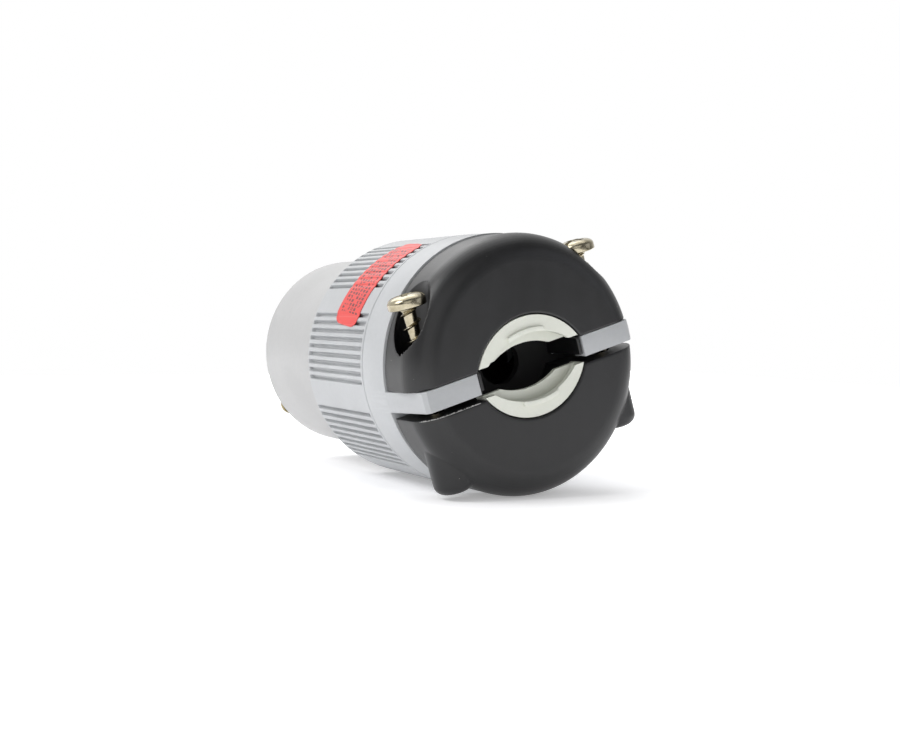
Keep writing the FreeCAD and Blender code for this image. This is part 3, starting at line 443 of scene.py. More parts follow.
def groove_share(angle):
    """How deep the ribbed surface is at an angle, from 0 on a land to 1 in a valley."""
    turn = (angle / math.tau * GROUPS) % 1.0 * PITCHES_PER_GROUP
    plain = (PITCHES_PER_GROUP - GROOVES_PER_GROUP) / 2
    if not plain <= turn <= PITCHES_PER_GROUP - plain:
        return 0.0
    from_root = abs((turn - plain) % 1.0 - 0.5) * PITCH_MM
    share = (GROOVE_MOUTH / 2 - from_root) / ((GROOVE_MOUTH - GROOVE_ROOT) / 2)
    share = min(max(share, 0.0), 1.0)
    return share * share * (3 - 2 * share)


def grip_radius_at(radius, height, angle):
    """The grip's radius, cut by its grooves along the middle of its length."""
    if radius < GRIP_RADIUS - 0.01:
        return radius
    from_end = min(height - GRIP_FRONT, SEAM - height) - GROOVE_MARGIN
    fade = min(max(from_end / GROOVE_RAMP, 0.0), 1.0)
    fade = fade * fade * (3 - 2 * fade)
    return radius - GROOVE_DEPTH * groove_share(angle) * fade


def grip_outline():
    """Radius and height round the sleeve's section."""
    outline = [(GRIP_BORE, SEAM), (GRIP_BORE, GRIP_FRONT)]
    for x, z in arc((GRIP_RADIUS - GRIP_EDGE, GRIP_FRONT + GRIP_EDGE), GRIP_EDGE, -90, 0, 6):
        outline.append((x, z))
    start = GRIP_FRONT + GROOVE_MARGIN
    end = SEAM - GROOVE_MARGIN
    for step in range(5):
        outline.append((GRIP_RADIUS, start + GROOVE_RAMP * step / 4))
    for step in range(1, 8):
        outline.append((GRIP_RADIUS, start + GROOVE_RAMP + (end - start - 2 * GROOVE_RAMP) * step / 8))
    for step in range(4, -1, -1):
        outline.append((GRIP_RADIUS, end - GROOVE_RAMP * step / 4))
    outline.append((GRIP_RADIUS, SEAM - SEAM_BEVEL))
    outline.append((GRIP_RADIUS - SEAM_BEVEL, SEAM))
    return outline


grip = lathe("grip_sleeve", grip_outline(), GROUPS * PITCHES_PER_GROUP * SAMPLES_PER_PITCH, grip_radius_at)
install(shade(grip, 40), "housing", housing_nylon, ["grip_shell"])

# %% [markdown]
# The nose is a plain cup: the mating face at its front has four curved slots for the plug's
# blades and two counterbored holes for the long assembly screws. The slots are cut with curved
# prisms, and a small bevel gives every moulded edge its catch of light.

# %% Nose shell
FACE_THICKNESS = 4.5
NOSE_WALL = 2.2
NOSE_STEP = GRIP_FRONT
TUCK_STEP = 0.4
RIM_ROUND = 1.0
SLOT_RADIUS = 13.5
SLOT_WIDTH = 2.7
SLOT_HALF_ANGLE = 17.0
POLE_TURN = 78.0
ASSEMBLY_RADIUS = 19.7
ASSEMBLY_TURN = 33.0


def band(radius, width, middle, half_angle):
    """The outline of a band that follows an arc about the axis."""
    start, end = middle - half_angle, middle + half_angle
    return arc((0, 0), radius + width / 2, start, end, 16) + arc((0, 0), radius - width / 2, end, start, 16)


def disc(radius, centre, steps=48):
    """The outline of a full circle."""
    return arc(centre, radius, 0, 360 - 360 / steps, steps - 1)


def around(radius, degrees):
    """A point at a radius and an angle."""
    return radius * math.cos(math.radians(degrees)), radius * math.sin(math.radians(degrees))


rim = arc((NOSE_RADIUS - RIM_ROUND, RIM_ROUND), RIM_ROUND, -90, 0, 8)
nose_outline = [(0.001, 0.0), *rim, (NOSE_RADIUS, NOSE_STEP), (NOSE_RADIUS - TUCK_STEP, NOSE_STEP),
                (NOSE_RADIUS - TUCK_STEP, NOSE_BACK), (NOSE_RADIUS - NOSE_WALL, NOSE_BACK),
                (NOSE_RADIUS - NOSE_WALL, FACE_THICKNESS), (0.001, FACE_THICKNESS)]
nose = lathe("nose_cup", nose_outline)
cutters = []
for pole in range(4):
    outline = band(SLOT_RADIUS, SLOT_WIDTH, POLE_TURN + 90 * pole, SLOT_HALF_ANGLE)
    cutters.append(prism("slot", outline, -1, FACE_THICKNESS + 1))
for half_turn in (0, 180):
    centre = around(ASSEMBLY_RADIUS, ASSEMBLY_TURN + half_turn)
    cutters.append(prism("sink", disc(3.25, centre), -1, 3.1))
    cutters.append(prism("hole", disc(2.05, centre), 3, FACE_THICKNESS + 1))
combine(nose, cutters, "DIFFERENCE")
bevel(nose, 0.22, 2, 40)
install(shade(nose, 35), "front_module", nose_nylon, ["nose_shell"])

# %% [markdown]
# The collar carries the yoke: two flat strips that run back along the sides and turn in across
# the cord end as bars. They are the pale bars between the black clamp halves. The collar is a
# lathe and each arm a prism. The space behind a bar is cut away, and a ring cut tapers the
# outside of the arms towards the cord end.

# %% Rear collar
COLLAR_BACK = SEAM + 10.2
COLLAR_DRAFT = 0.2
SEAL_SEAT = 22.3
WEB_FRONT = COLLAR_BACK - 2.0 - 0.12 - 2.6
WEB_BACK = COLLAR_BACK - 2.0 - 0.12
CABLE_RADIUS = 15.5
SPIGOT_FRONT = SEAM - 5.0
SPIGOT_RADIUS = NOSE_RADIUS + 0.18
COLLAR_INSIDE = SPIGOT_RADIUS - 2.3
ARM_HALF = 2.3
ARM_INNER = 13.6
ARM_OUTER = 28.8
ARM_TAPER = 2.0
ARM_CORNER = 0.8
ARM_BAR = 4.0
ARM_STRIP = 24.3
SCREW_X = 21.9
SCREW_LEVEL = BODY_LENGTH - 6.7

collar_outline = [(COLLAR_INSIDE, SPIGOT_FRONT), (SPIGOT_RADIUS, SPIGOT_FRONT), (SPIGOT_RADIUS, SEAM),
                  (GRIP_RADIUS - SEAM_BEVEL, SEAM), (GRIP_RADIUS, SEAM + SEAM_BEVEL),
                  (GRIP_RADIUS - COLLAR_DRAFT, COLLAR_BACK), (SEAL_SEAT, COLLAR_BACK), (SEAL_SEAT, WEB_BACK),
                  (CABLE_RADIUS, WEB_BACK), (CABLE_RADIUS, WEB_FRONT), (COLLAR_INSIDE, WEB_FRONT)]
collar = lathe("rear_yoke_collar", collar_outline)
spread = math.degrees(math.asin(ARM_HALF / ARM_OUTER))
arms = []
for middle, side in ((0, 1), (180, -1)):
    outline = arc((0, 0), ARM_OUTER, middle - spread, middle + spread, 8)
    outline += [(side * ARM_INNER, side * ARM_HALF), (side * ARM_INNER, -side * ARM_HALF)]
    arms.append(prism("arm", outline, COLLAR_BACK - 0.5, BODY_LENGTH))
for half_turn in (0, 180):
    centre = around(ASSEMBLY_RADIUS, ASSEMBLY_TURN + half_turn)
    arms.append(prism("boss", disc(4.2, centre), SPIGOT_FRONT - 6.0, WEB_BACK - 1.3))
combine(collar, arms, "UNION")


def upright_cylinder(name, x, z, radius, low, high, top_radius=None, steps=64):
    """A cylinder or cone along the Y direction."""
    bm = bmesh.new()
    rings = []
    for y, reach in ((low, radius), (high, radius if top_radius is None else top_radius)):
        ring = []
        for step in range(steps):
            angle = math.tau * step / steps
            ring.append(bm.verts.new((x + reach * math.cos(angle), y, z + reach * math.sin(angle))))
        bm.faces.new(ring)
        rings.append(ring)
    for step in range(steps):
        after = (step + 1) % steps
        bm.faces.new((rings[0][step], rings[0][after], rings[1][after], rings[1][step]))
    return to_object(name, bm)


def block(name, low_x, high_x, low_y, high_y, low_z, high_z):
    """A plain block between two corners."""
    corners = [(low_x, low_y), (high_x, low_y), (high_x, high_y), (low_x, high_y)]
    return prism(name, corners, low_z, high_z)


holes = []
for low_x, high_x in ((ARM_INNER - 1, ARM_STRIP), (-ARM_STRIP, 1 - ARM_INNER)):
    holes.append(block("behind_bar", low_x, high_x, -4, 4, COLLAR_BACK, BODY_LENGTH - ARM_BAR))
taper = [(ARM_OUTER, COLLAR_BACK), (ARM_OUTER - ARM_TAPER, BODY_LENGTH - ARM_CORNER),
         (ARM_OUTER - ARM_TAPER - ARM_CORNER, BODY_LENGTH),
         (ARM_OUTER - ARM_TAPER - ARM_CORNER, BODY_LENGTH + 1),
         (ARM_OUTER + 1, BODY_LENGTH + 1), (ARM_OUTER + 1, COLLAR_BACK)]
holes.append(lathe("taper", taper))
for half_turn in (0, 180):
    centre = around(ASSEMBLY_RADIUS, ASSEMBLY_TURN + half_turn)
    holes.append(prism("bore", disc(1.8, centre), SPIGOT_FRONT - 8, WEB_BACK + 1))
combine(collar, holes, "DIFFERENCE")
bevel(collar, 0.35, 3, 40)
install(shade(collar, 35), "housing", housing_nylon, ["rear_collar"])

# %% [markdown]
# Each clamp half is a thick half disc with a generous round at its outer edge. The upper half
# has a tapered pocket at each side for a screw head and a tongue behind each bar, the lower
# half has two bosses that take the screws' threads and stand out of its side. With the screws
# backed out, the lower half hangs a little low. A half is cut from Boolean pieces, remeshed
# finely and smoothed, so that the pieces flow into each other as moulded ones do.

# %% Clamp halves
CLAMP_RADIUS = 28.5
CLAMP_ROUND = 6.0
INSERT_RADIUS = 14.5
INSERT_OFFSET = 3.8
INSERT_GAP = 0.25
INSERT_LENGTH = 5.0
INSERT_LEDGE = 1.2
TONGUE_OUTER = 24.0
TONGUE_INNER = ARM_INNER - 1.1
TONGUE_DROP = 1.7
UPPER_SPLIT = ARM_HALF + 0.12
LOWER_SHIFT = 0.45
LOWER_SPLIT = -ARM_HALF - 1.5 + LOWER_SHIFT
POCKET_FLOOR = 9.0
BOSS_RADIUS = 4.5
BOSS_ROUND = 2.2
BOSS_END = -21.2
POCKET_FLOOR_RADIUS = 4.5
POCKET_MOUTH_RADIUS = 5.9
CLAMP_VOXEL = 0.21


def clamp_disc(name, seat_y):
    """The disc that both halves are cut from."""
    edge = arc((CLAMP_RADIUS - CLAMP_ROUND, CLAMP_BACK - CLAMP_ROUND), CLAMP_ROUND, 0, 90, 12)
    outline = [(0.001, CLAMP_FRONT), (CLAMP_RADIUS - 0.3, CLAMP_FRONT), (CLAMP_RADIUS, CLAMP_FRONT + 0.3),
               *edge, (0.001, CLAMP_BACK)]
    whole = lathe(name, outline)
    bore = prism("bore", disc(INSERT_RADIUS - INSERT_LEDGE, (0, seat_y), 128),
                 CLAMP_FRONT - 2, CLAMP_BACK + 2)
    seat = prism("seat", disc(INSERT_RADIUS + INSERT_GAP, (0, seat_y), 128),
                 BODY_LENGTH - INSERT_LENGTH - INSERT_GAP, CLAMP_BACK + 2)
    return combine(whole, [bore, seat], "DIFFERENCE")


def rest(low_y, high_y):
    """The block that covers the other side of the split."""
    return block("rest", -60, 60, low_y, high_y, CLAMP_FRONT - 5, CLAMP_BACK + 5)


upper = combine(clamp_disc("clamp_top_half", -INSERT_OFFSET), [rest(-40, UPPER_SPLIT)], "DIFFERENCE")
tongues_and_shade_lugs = []
for low_x, high_x in ((TONGUE_INNER, TONGUE_OUTER), (-TONGUE_OUTER, -TONGUE_INNER)):
    tongues_and_shade_lugs.append(block("tongue", low_x, high_x, -TONGUE_DROP, ARM_HALF + 0.24, CLAMP_FRONT + 0.05,
                         BODY_LENGTH - ARM_BAR - 0.3))
# Painted shade: a black lug lines the inner end of each bar, a dark piece that stands in for the shade on the
# bar's inner wall deep in the cord opening.
for low_x, high_x in ((TONGUE_INNER, ARM_INNER - 0.3), (0.3 - ARM_INNER, -TONGUE_INNER)):
    tongues_and_shade_lugs.append(block("shade_lug", low_x, high_x, -TONGUE_DROP, ARM_HALF, CLAMP_FRONT + 0.1, BODY_LENGTH - 0.3))
combine(upper, tongues_and_shade_lugs, "UNION")
cuts = []
for side in (-1, 1):
    cuts.append(upright_cylinder("pocket", side * SCREW_X, SCREW_LEVEL, POCKET_FLOOR_RADIUS,
                                 POCKET_FLOOR, CLAMP_RADIUS, POCKET_MOUTH_RADIUS))
    cuts.append(upright_cylinder("hole", side * SCREW_X, SCREW_LEVEL, 2.4, -CLAMP_RADIUS, CLAMP_RADIUS))
combine(upper, cuts, "DIFFERENCE")
soften(upper, CLAMP_VOXEL, 1)
install(shade(upper, 60), "clamp_top", clamp_nylon, ["clamp_upper"])

LOWERED = Matrix.Translation((0, -LOWER_SHIFT, 0))
lower = combine(clamp_disc("clamp_bottom_half", INSERT_OFFSET), [rest(LOWER_SPLIT, 40)], "DIFFERENCE")
bosses = []
for side in (-1, 1):
    post = upright_cylinder("boss", side * SCREW_X, SCREW_LEVEL, BOSS_RADIUS, BOSS_END, LOWER_SPLIT - 0.01)
    bosses.append(bevel(post, BOSS_ROUND, 8, 60))
combine(lower, bosses, "UNION")
threads = [upright_cylinder("thread", side * SCREW_X, SCREW_LEVEL, 2.15, -19.6, 0) for side in (-1, 1)]
combine(lower, threads, "DIFFERENCE")
soften(lower, CLAMP_VOXEL)
lower.data.transform(LOWERED)
install(shade(lower, 60), "clamp_bottom", clamp_nylon, ["clamp_lower"])

# %% [markdown]
# Where the two mould halves met, a thin ragged film of nylon squeezed out along the upper edge
# of the lower clamp half. Torn off, it leaves a pale broken line beside the left bar: a ribbon
# whose width wanders and now and then drops to nothing.

# %% Mould flash
flash_nylon = moulded_nylon("torn_nylon_flash", "#B5B5B2", "#8F8F8C", 0.6)
FLASH_STEP = 0.12
FLASH_HEIGHTS = (0.03, 0.1, 0.16, 0.24, 0.3)
FLASH_STUB = 0.005
FLASH_TORN_SHARE = 0.12
FLASH_SINK = 0.12
FLASH_STAND_OFF = 0.03
FLASH_LEAN = 0.3
FLASH_THICKNESS = 0.06
FLASH_INNER_END = -14.4


def flash_line(points, seed):
    """A ragged ribbon that stands on an edge, through (x, height) points along the split."""
    chance = random.Random(seed)
    bm = bmesh.new()
    previous = None
    for (x0, z0), (x1, z1) in zip(points, points[1:]):
        steps = max(2, int(math.dist((x0, z0), (x1, z1)) / FLASH_STEP))
        for step in range(steps):
            part = step / steps
            x, z = x0 + (x1 - x0) * part, z0 + (z1 - z0) * part
            tall = chance.choice(FLASH_HEIGHTS) if chance.random() > FLASH_TORN_SHARE else FLASH_STUB
            foot = bm.verts.new((x, LOWER_SPLIT - FLASH_SINK, z + FLASH_STAND_OFF))
            tip = bm.verts.new((x, LOWER_SPLIT - FLASH_SINK + tall,
                                z + FLASH_STAND_OFF + FLASH_LEAN * tall))
            if previous:
                bm.faces.new((previous[0], foot, tip, previous[1]))
            previous = (foot, tip)
    flash = to_object("flash_line", bm)
    thick = flash.modifiers.new("film", "SOLIDIFY")
    thick.thickness = FLASH_THICKNESS
    settle(flash).data.transform(LOWERED)
    return flash


round_edge = [(-CLAMP_RADIUS + CLAMP_ROUND - CLAMP_ROUND * math.sin(math.radians(a)),
               CLAMP_BACK - CLAMP_ROUND + CLAMP_ROUND * math.cos(math.radians(a)))
              for a in range(62, -1, -8)]
flash = flash_line([*round_edge, (FLASH_INNER_END, CLAMP_BACK)], seed=7)
install(shade(flash, 40), "clamp_bottom", flash_nylon)
print("%d points along the mould flash" % (len(round_edge) + 1))

# %% [markdown]
# The inserts are ivory nylon crescents that snap into the clamp halves and narrow the opening
# for a thin cord. Each has a flat front, a short raised lip in the middle of its inner edge,
# and a gripping tooth behind a channel. They are stacks of crescent prisms.

# %% Inserts
INSERT_EDGE = 2.9
THROAT_RADIUS = 15.3
THROAT_OFFSET = 8.3
CHANNEL_GROW = 1.3
TOOTH_RADIUS = 15.1
TOOTH_OFFSET = 10.4
TOOTH_THICKNESS = 1.2
TOOTH_STEP = 3.1
LIP_HALF_WIDTH = 4.6
LIP_WIDTH = 1.0
LIP_HEIGHT = 0.85


def level_arc(radius, offset, level, steps=48):
    """An arc centred below the axis, from its right end at a height to its left end."""
    end = math.degrees(math.asin((level + offset) / radius))
    return arc((0, -offset), radius, end, 180 - end, steps)


def crescent(inner_radius, inner_offset):
    """The outline between an insert's outer arc and an inner arc."""
    outer = level_arc(INSERT_RADIUS, INSERT_OFFSET, INSERT_EDGE)
    inner = level_arc(inner_radius, inner_offset, INSERT_EDGE)
    return outer + inner[::-1]


def lip_outline():
    """The short raised band along the inner edge."""
    outline = []
    for radius, way in ((THROAT_RADIUS + LIP_WIDTH, 1), (THROAT_RADIUS, -1)):
        side = math.degrees(math.acos(LIP_HALF_WIDTH / radius))
        outline += arc((0, -THROAT_OFFSET), radius, side, 180 - side, 20)[::way]
    return outline


def join(name, objects):
    """Several separate shells in one piece."""
    bm = bmesh.new()
    for obj in objects:
        bm.from_mesh(obj.data)
        bpy.data.objects.remove(obj)
    mesh = bpy.data.meshes.new(name)
    bm.to_mesh(mesh)
    bm.free()
    obj = bpy.data.objects.new(name, mesh)
    bpy.context.scene.collection.objects.link(obj)
    return obj


def make_insert(name, body, node, placement):
    """One insert with its lip, placed in the connector's own frame."""
    start = BODY_LENGTH - INSERT_LENGTH
    wall = prism(name, crescent(THROAT_RADIUS + CHANNEL_GROW, THROAT_OFFSET), start, BODY_LENGTH)
    layers = [prism("front", crescent(THROAT_RADIUS, THROAT_OFFSET),
                    BODY_LENGTH - TOOTH_THICKNESS, BODY_LENGTH)]
    low = BODY_LENGTH - TOOTH_THICKNESS - TOOTH_STEP
    layers.append(prism("tooth", crescent(TOOTH_RADIUS, TOOTH_OFFSET), low, low + TOOTH_THICKNESS))
    combine(wall, layers, "UNION")
    soften(wall, 0.1, 1)
    lip = bevel(prism("lip", lip_outline(), BODY_LENGTH - 0.3, BODY_LENGTH + LIP_HEIGHT), 0.1, 2, 40)
    insert = join(name, [wall, lip])
    insert.data.transform(placement)
    install(shade(insert, 35), body, insert_nylon, [node])


make_insert("insert_top", "clamp_top", "insert_upper", Matrix())
make_insert("insert_bottom", "clamp_bottom", "insert_lower", LOWERED @ Matrix.Rotation(math.pi, 4, "Z"))

# %% [markdown]
# Self-tapping screws: a thin sharp ridge winds round a slender core that tapers to a point,
# and a short cone joins the core to the head. The shank is a grid of points whose radius
# depends on height and angle, which draws the helix in one mesh. The head is turned on the
# lathe and its cross recess and slot are cut with prisms.

# %% Screws
def thread_ridge(place, pitch, width):
    """How much a ridge stands out at a place along the pitch, from 0 to 1."""
    away = abs((place / pitch + 0.5) % 1.0 - 0.5) * pitch
    return max(0.0, 1.0 - away / width)


def shank(name, length, crest, core, core_end, pitch, ridge_width, taper,
          plain=0.0, rows_per_mm=14, steps=40):
    """A threaded shank that hangs below height zero, with a core that narrows on its way."""
    bm = bmesh.new()
    count = int(length * rows_per_mm)
    previous = None
    for row in range(count + 1):
        depth = length * row / count
        point = min(1.0, max(0.04, (length - depth) / taper)) ** 0.8
        narrow = core + (core_end - core) * min(1.0, depth / (0.6 * length))
        neck = max(0.0, 1.0 - depth / NECK_LENGTH) * (crest - narrow)
        ring = []
        for step in range(steps):
            angle = math.tau * step / steps
            place = depth + pitch * angle / math.tau
            ridge = (crest - narrow) * thread_ridge(place, pitch, ridge_width) if depth > plain else 0.0
            reach = (narrow + max(ridge, neck)) * point
            ring.append(bm.verts.new((reach * math.cos(angle), reach * math.sin(angle), -depth)))
        if previous is None:
            bm.faces.new(ring)
        else:
            for step in range(steps):
                after = (step + 1) % steps
                bm.faces.new((previous[step], previous[after], ring[after], ring[step]))
        previous = ring
    bm.faces.new(previous[::-1])
    return to_object(name, bm)


def pan_head(name, radius, height, slot_turn, recess=True):
    """A pan head that stands on height zero, with a slot and a cross recess."""
    crown = [(radius * math.cos(math.radians(a)) ** 0.55, height * (0.42 + 0.58 * math.sin(math.radians(a))))
             for a in range(0, 86, 6)]
    outline = [(0.001, 0.0), (radius - 0.15, 0.0), (radius, 0.15), *crown, (0.001, height)]
    head = lathe(name, outline, 96)
    turn = Matrix.Rotation(math.radians(slot_turn), 4, "Z")
    half = 0.16 * radius
    cuts = [prism("slot", [(-radius, -half), (radius, -half), (radius, half), (-radius, half)],
                  0.58 * height, height + 1)]
    if recess:
        arm = 0.56 * radius
        cuts.append(prism("cross", [(-half, -arm), (half, -arm), (half, arm), (-half, arm)],
                          0.3 * height, height + 1))
        cuts.append(prism("centre", disc(0.33 * radius, (0, 0), 24), 0.25 * height, height + 1))
    for cut in cuts:
        cut.data.transform(turn)
    combine(head, cuts, "DIFFERENCE")
    return bevel(head, 0.07, 2, 35)


NECK_LENGTH = 1.1
HEAD_UP = Matrix.Rotation(math.radians(-90), 4, "X")
CLAMP_SEAT = POCKET_FLOOR + 10.3
for side, node, slot_turn in ((-1, "clamp_screw_left", -28), (1, "clamp_screw_right", 20)):
    parts = [pan_head("head", 4.15, 2.7, slot_turn),
             shank("shank", length=27.0, crest=2.1, core=1.45, core_end=1.05, pitch=2.9,
                   ridge_width=0.36, taper=5.0, plain=0.6)]
    screw = join(node + "_threaded", parts)
    screw.data.transform(Matrix.Translation((side * SCREW_X, CLAMP_SEAT, SCREW_LEVEL)) @ HEAD_UP)
    install(shade(screw, 35), node, nickel_plate, [node])

HEAD_OUT = Matrix.Rotation(math.radians(180), 4, "X")
ASSEMBLY_SEAT = 3.1 - 13.5
for node, half_turn in (("assembly_screw_a", 0), ("assembly_screw_b", 180)):
    parts = [pan_head("head", 2.95, 2.6, 40),
             shank("shank", length=77.0, crest=1.75, core=1.35, core_end=1.3, pitch=0.8,
                   ridge_width=0.3, taper=3.0, plain=56.0, rows_per_mm=12)]
    screw = join(node + "_threaded", parts)
    x, y = around(ASSEMBLY_RADIUS, ASSEMBLY_TURN + half_turn)
    screw.data.transform(Matrix.Translation((x, y, ASSEMBLY_SEAT)) @ HEAD_OUT)
    install(shade(screw, 35), node, dull_brass, [node])

# %% [markdown]
# The warning label is a thin red vinyl film with round ends, wrapped over the ribs. It bridges
# the grooves, and sinks into them a little. Its print is generic: rows of small dark marks
# with no letters. The mesh carries a UV map in millimetres, along and across the label, so the
# print keeps its scale wherever the label goes.

# %% Warning label
LABEL_TURN = math.radians(121.7)
LABEL_SKEW = math.radians(-6.5)
LABEL_CORNER = 3.0
LABEL_LIFT = 0.02
LABEL_FILM = 0.14
LABEL_MIDDLE = SEAM - 10.8
label_width = 12.6
label_length = 2 * GRIP_RADIUS * math.asin(12.6 / GRIP_RADIUS)


def label_print():
    """Red film with rows of small dark marks."""
    material, tree = new_material("red_vinyl_label")
    sheet = add(tree, "ShaderNodeUVMap", {"uv_map": "label_mm"}).outputs[0]
    parts = add(tree, "ShaderNodeSeparateXYZ", None, {0: sheet})
    along, across = parts.outputs[0], parts.outputs[1]

    def maths(operation, first, second=None, constant=0.0):
        node = add(tree, "ShaderNodeMath", {"operation": operation, 1: constant}, {0: first})
        if second is not None:
            tree.links.new(second, node.inputs[1])
        return node.outputs[0]

    row_pitch, mark_pitch = 1.7, 0.95
    row = maths("DIVIDE", across, constant=row_pitch)
    mark = maths("DIVIDE", along, constant=mark_pitch)
    row_number = maths("FLOOR", row)
    mark_number = maths("FLOOR", mark)
    cell = add(tree, "ShaderNodeCombineXYZ", None, {0: mark_number, 1: row_number})
    chance = add(tree, "ShaderNodeTexWhiteNoise", {"noise_dimensions": "2D"},
                 {"Vector": cell.outputs[0]})
    in_row = maths("ABSOLUTE", maths("SUBTRACT", maths("FRACT", row), constant=0.5))
    in_mark = maths("ABSOLUTE", maths("SUBTRACT", maths("FRACT", mark), constant=0.5))
    tall = maths("LESS_THAN", in_row, constant=0.31)
    wide = maths("LESS_THAN", in_mark, constant=0.36)
    present = maths("GREATER_THAN", chance.outputs["Value"], constant=0.16)
    detail = add(tree, "ShaderNodeVectorMath", {"operation": "MULTIPLY", 1: (2.6, 1.9, 1.0)}, {0: sheet})
    strokes = add(tree, "ShaderNodeTexWhiteNoise", {"noise_dimensions": "2D"},
                  {"Vector": add(tree, "ShaderNodeVectorMath", {"operation": "FLOOR"},
                                 {0: detail.outputs[0]}).outputs[0]})
    ink = maths("MULTIPLY", maths("MULTIPLY", tall, wide),
                maths("MULTIPLY", present, maths("GREATER_THAN", strokes.outputs["Value"], constant=0.28)))
    inside_x = maths("LESS_THAN", maths("ABSOLUTE", along), constant=label_length / 2 - 3.0)
    inside_y = maths("LESS_THAN", maths("ABSOLUTE", across), constant=label_width / 2 - 1.2)
    printed = maths("MULTIPLY", ink, maths("MULTIPLY", inside_x, inside_y))
    place = add(tree, "ShaderNodeTexCoord").outputs["Object"]
    fading = add(tree, "ShaderNodeTexNoise", {"Scale": per_metre(5), "Detail": 3.0}, {"Vector": place})
    red = add(tree, "ShaderNodeMix", {"data_type": "RGBA", "A": linear("#D0302A"), "B": linear("#DA3D36")},
              {"Factor": fading.outputs["Fac"]})
    colour = add(tree, "ShaderNodeMix", {"data_type": "RGBA", "B": linear("#5E1519")},
                 {"Factor": printed, "A": red.outputs[2]})
    ripple = add(tree, "ShaderNodeBump", {"Strength": 0.3, "Distance": 0.03 * MM},
                 {"Height": fading.outputs["Fac"]})
    finish(tree, {"IOR": 1.5, "Roughness": 0.36},
           {"Base Color": colour.outputs[2], "Normal": ripple.outputs[0]})
    return material


def make_label():
    """The label as a strip that follows the grip a little askew, with round corners."""
    bm = bmesh.new()
    uv = bm.loops.layers.uv.new("label_mm")
    columns, rows = 300, 40
    half = label_width / 2
    grid = []
    for row in range(rows + 1):
        across = half * math.sin(math.pi * (row / rows - 0.5)) * 0.999
        into_corner = max(0.0, abs(across) - (half - LABEL_CORNER))
        cut = LABEL_CORNER - math.sqrt(LABEL_CORNER**2 - into_corner**2)
        line = []
        for column in range(columns + 1):
            along = (label_length / 2 - cut) * (2 * column / columns - 1)
            wrap = along * math.cos(LABEL_SKEW) - across * math.sin(LABEL_SKEW)
            height = LABEL_MIDDLE + along * math.sin(LABEL_SKEW) + across * math.cos(LABEL_SKEW)
            angle = LABEL_TURN + wrap / GRIP_RADIUS
            sag = 0.1 * groove_share(angle)
            lift = GRIP_RADIUS + LABEL_LIFT + LABEL_FILM - sag
            vertex = bm.verts.new((lift * math.cos(angle), lift * math.sin(angle), height))
            line.append((vertex, along, across))
        grid.append(line)
    for row in range(rows):
        for column in range(columns):
            corners = [grid[row][column], grid[row][column + 1],
                       grid[row + 1][column + 1], grid[row + 1][column]]
            face = bm.faces.new([corner[0] for corner in corners])
            for loop, corner in zip(face.loops, corners):
                loop[uv].uv = (corner[1], corner[2])
    bmesh.ops.recalc_face_normals(bm, faces=bm.faces)
    mesh = bpy.data.meshes.new("warning_film")
    bm.to_mesh(mesh)
    bm.free()
    obj = bpy.data.objects.new("warning_film", mesh)
    bpy.context.scene.collection.objects.link(obj)
    thick = obj.modifiers.new("film", "SOLIDIFY")
    thick.thickness = LABEL_FILM
    thick.offset = -1
    return settle(obj)


install(shade(make_label(), 50), "housing", label_print(), ["warning_label"])

# %% [markdown]
# The pieces inside keep their CAD meshes, which are already right, and get real finishes: the
# black moulded insulators, stamped brass contacts, zinc plated pressure plates, and terminal
# screws coloured by their pole.

# %% Inner pieces
INNER = {
    "cord_seal": seal_rubber,
    "contact_carrier": insulator_thermoset,
    "terminal_block": insulator_thermoset,
    "terminal_screw_hot_x": contact_brass,
    "terminal_screw_hot_y": contact_brass,
    "terminal_screw_neutral": nickel_plate,
    "terminal_screw_ground": green_dye,
}
for pole in ("hot_x", "hot_y", "neutral", "ground"):
    INNER["contact_" + pole] = contact_brass
    INNER["pressure_plate_" + pole] = zinc_plate
for node, material in INNER.items():
    inner = frame["nodes"][node]
    inner.data.materials.clear()
    inner.data.materials.append(material)
print("%d inner pieces have their finish" % len(INNER))

# %% [markdown]
# A white table that glows a little, least under the connector and fully towards its edges: painted
# light that keeps its shadows pale and lets the table fade into the white surround. Soft light comes
# from large lamps: one at the camera's left, one overhead, one behind that catches the rounded edges,
# a weak one at the right and a broad one beside the camera. The surround is bright behind the
# connector and falls off towards the camera, so that black nylon has something dark to reflect.

# %% Floor and light
floor_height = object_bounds()[0][2]


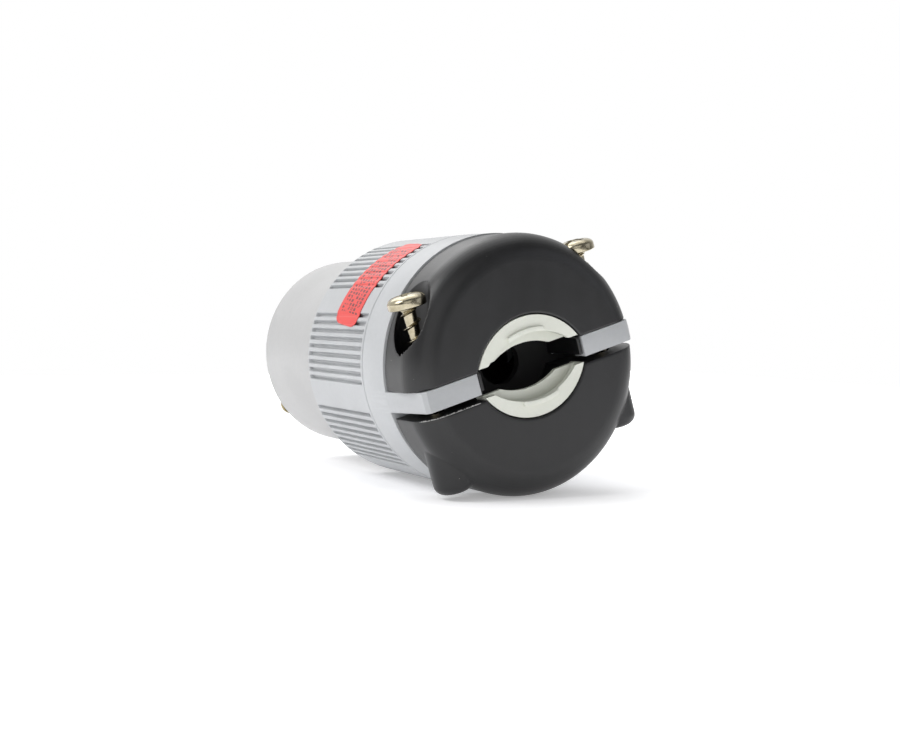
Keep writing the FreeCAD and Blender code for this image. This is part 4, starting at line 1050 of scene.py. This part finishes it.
def glowing_white_table():
    material, tree = new_material("glowing_white_table")
    place = add(tree, "ShaderNodeTexCoord").outputs["Object"]
    mottle = add(tree, "ShaderNodeTexNoise", {"Scale": per_metre(60), "Detail": 3.0}, {"Vector": place})
    colour = add(tree, "ShaderNodeMix", {"data_type": "RGBA", "A": linear("#FAFAFC"), "B": linear("#FDFDFE")},
                 {"Factor": mottle.outputs["Fac"]})
    where = add(tree, "ShaderNodeVectorMath", {"operation": "LENGTH"}, {0: place})
    # Painted light: the table glows, weakly near the connector and fully from 0.3 m out.
    glow = add(tree, "ShaderNodeMapRange", {"From Min": 0.08, "From Max": 0.3, "To Min": 0.25, "To Max": 1.0},
               {"Value": where.outputs["Value"]})
    finish(tree, {"Roughness": 0.9, "Emission Color": linear("#FFFFFF")},
           {"Base Color": colour.outputs[2], "Emission Strength": glow.outputs[0]})
    return material


reach = 0.45
floor_mesh = bpy.data.meshes.new("floor")
floor_mesh.from_pydata([(-reach, -reach, floor_height), (reach, -reach, floor_height),
                        (reach, reach, floor_height), (-reach, reach, floor_height)], [], [(0, 1, 2, 3)])
floor = bpy.data.objects.new("floor", floor_mesh)
floor.data.materials.append(glowing_white_table())
bpy.context.scene.collection.objects.link(floor)


def lamp(name, place, aim, size, watts, tint="#FFFFFF"):
    """A square area lamp."""
    data = bpy.data.lights.new(name, "AREA")
    data.shape = "SQUARE"
    data.size = size
    data.energy = watts
    data.color = linear(tint)[:3]
    obj = bpy.data.objects.new(name, data)
    obj.location = place
    obj.rotation_euler = (Vector(aim) - Vector(place)).to_track_quat("-Z", "Y").to_euler()
    bpy.context.scene.collection.objects.link(obj)


MIDDLE = (0, -0.05, 0)
lamp("key", (-0.6, 0.0, 0.55), MIDDLE, 0.35, 2.6)
lamp("top", (0.0, 0.15, 0.9), MIDDLE, 0.8, 1.8)
lamp("back", (0.0, 0.6, 0.7), MIDDLE, 0.6, 2.0)
lamp("side", (0.6, -0.6, 0.3), MIDDLE, 0.5, 0.5, "#F3F6FF")
lamp("fill", (-0.45, -0.95, 0.45), MIDDLE, 0.8, 1.6)

world = bpy.data.worlds.new("studio")
world.use_nodes = True
sky = world.node_tree
background = sky.nodes["Background"]
way = add(sky, "ShaderNodeTexCoord").outputs["Generated"]
depth = add(sky, "ShaderNodeSeparateXYZ", None, {0: way}).outputs["Y"]
brightness = add(sky, "ShaderNodeMapRange", {"From Min": -0.3, "From Max": 0.5, "To Min": 0.2, "To Max": 1.0},
                 {"Value": depth})
sky.links.new(brightness.outputs[0], background.inputs["Strength"])
background.inputs["Color"].default_value = linear("#FFFFFF")
bpy.context.scene.world = world
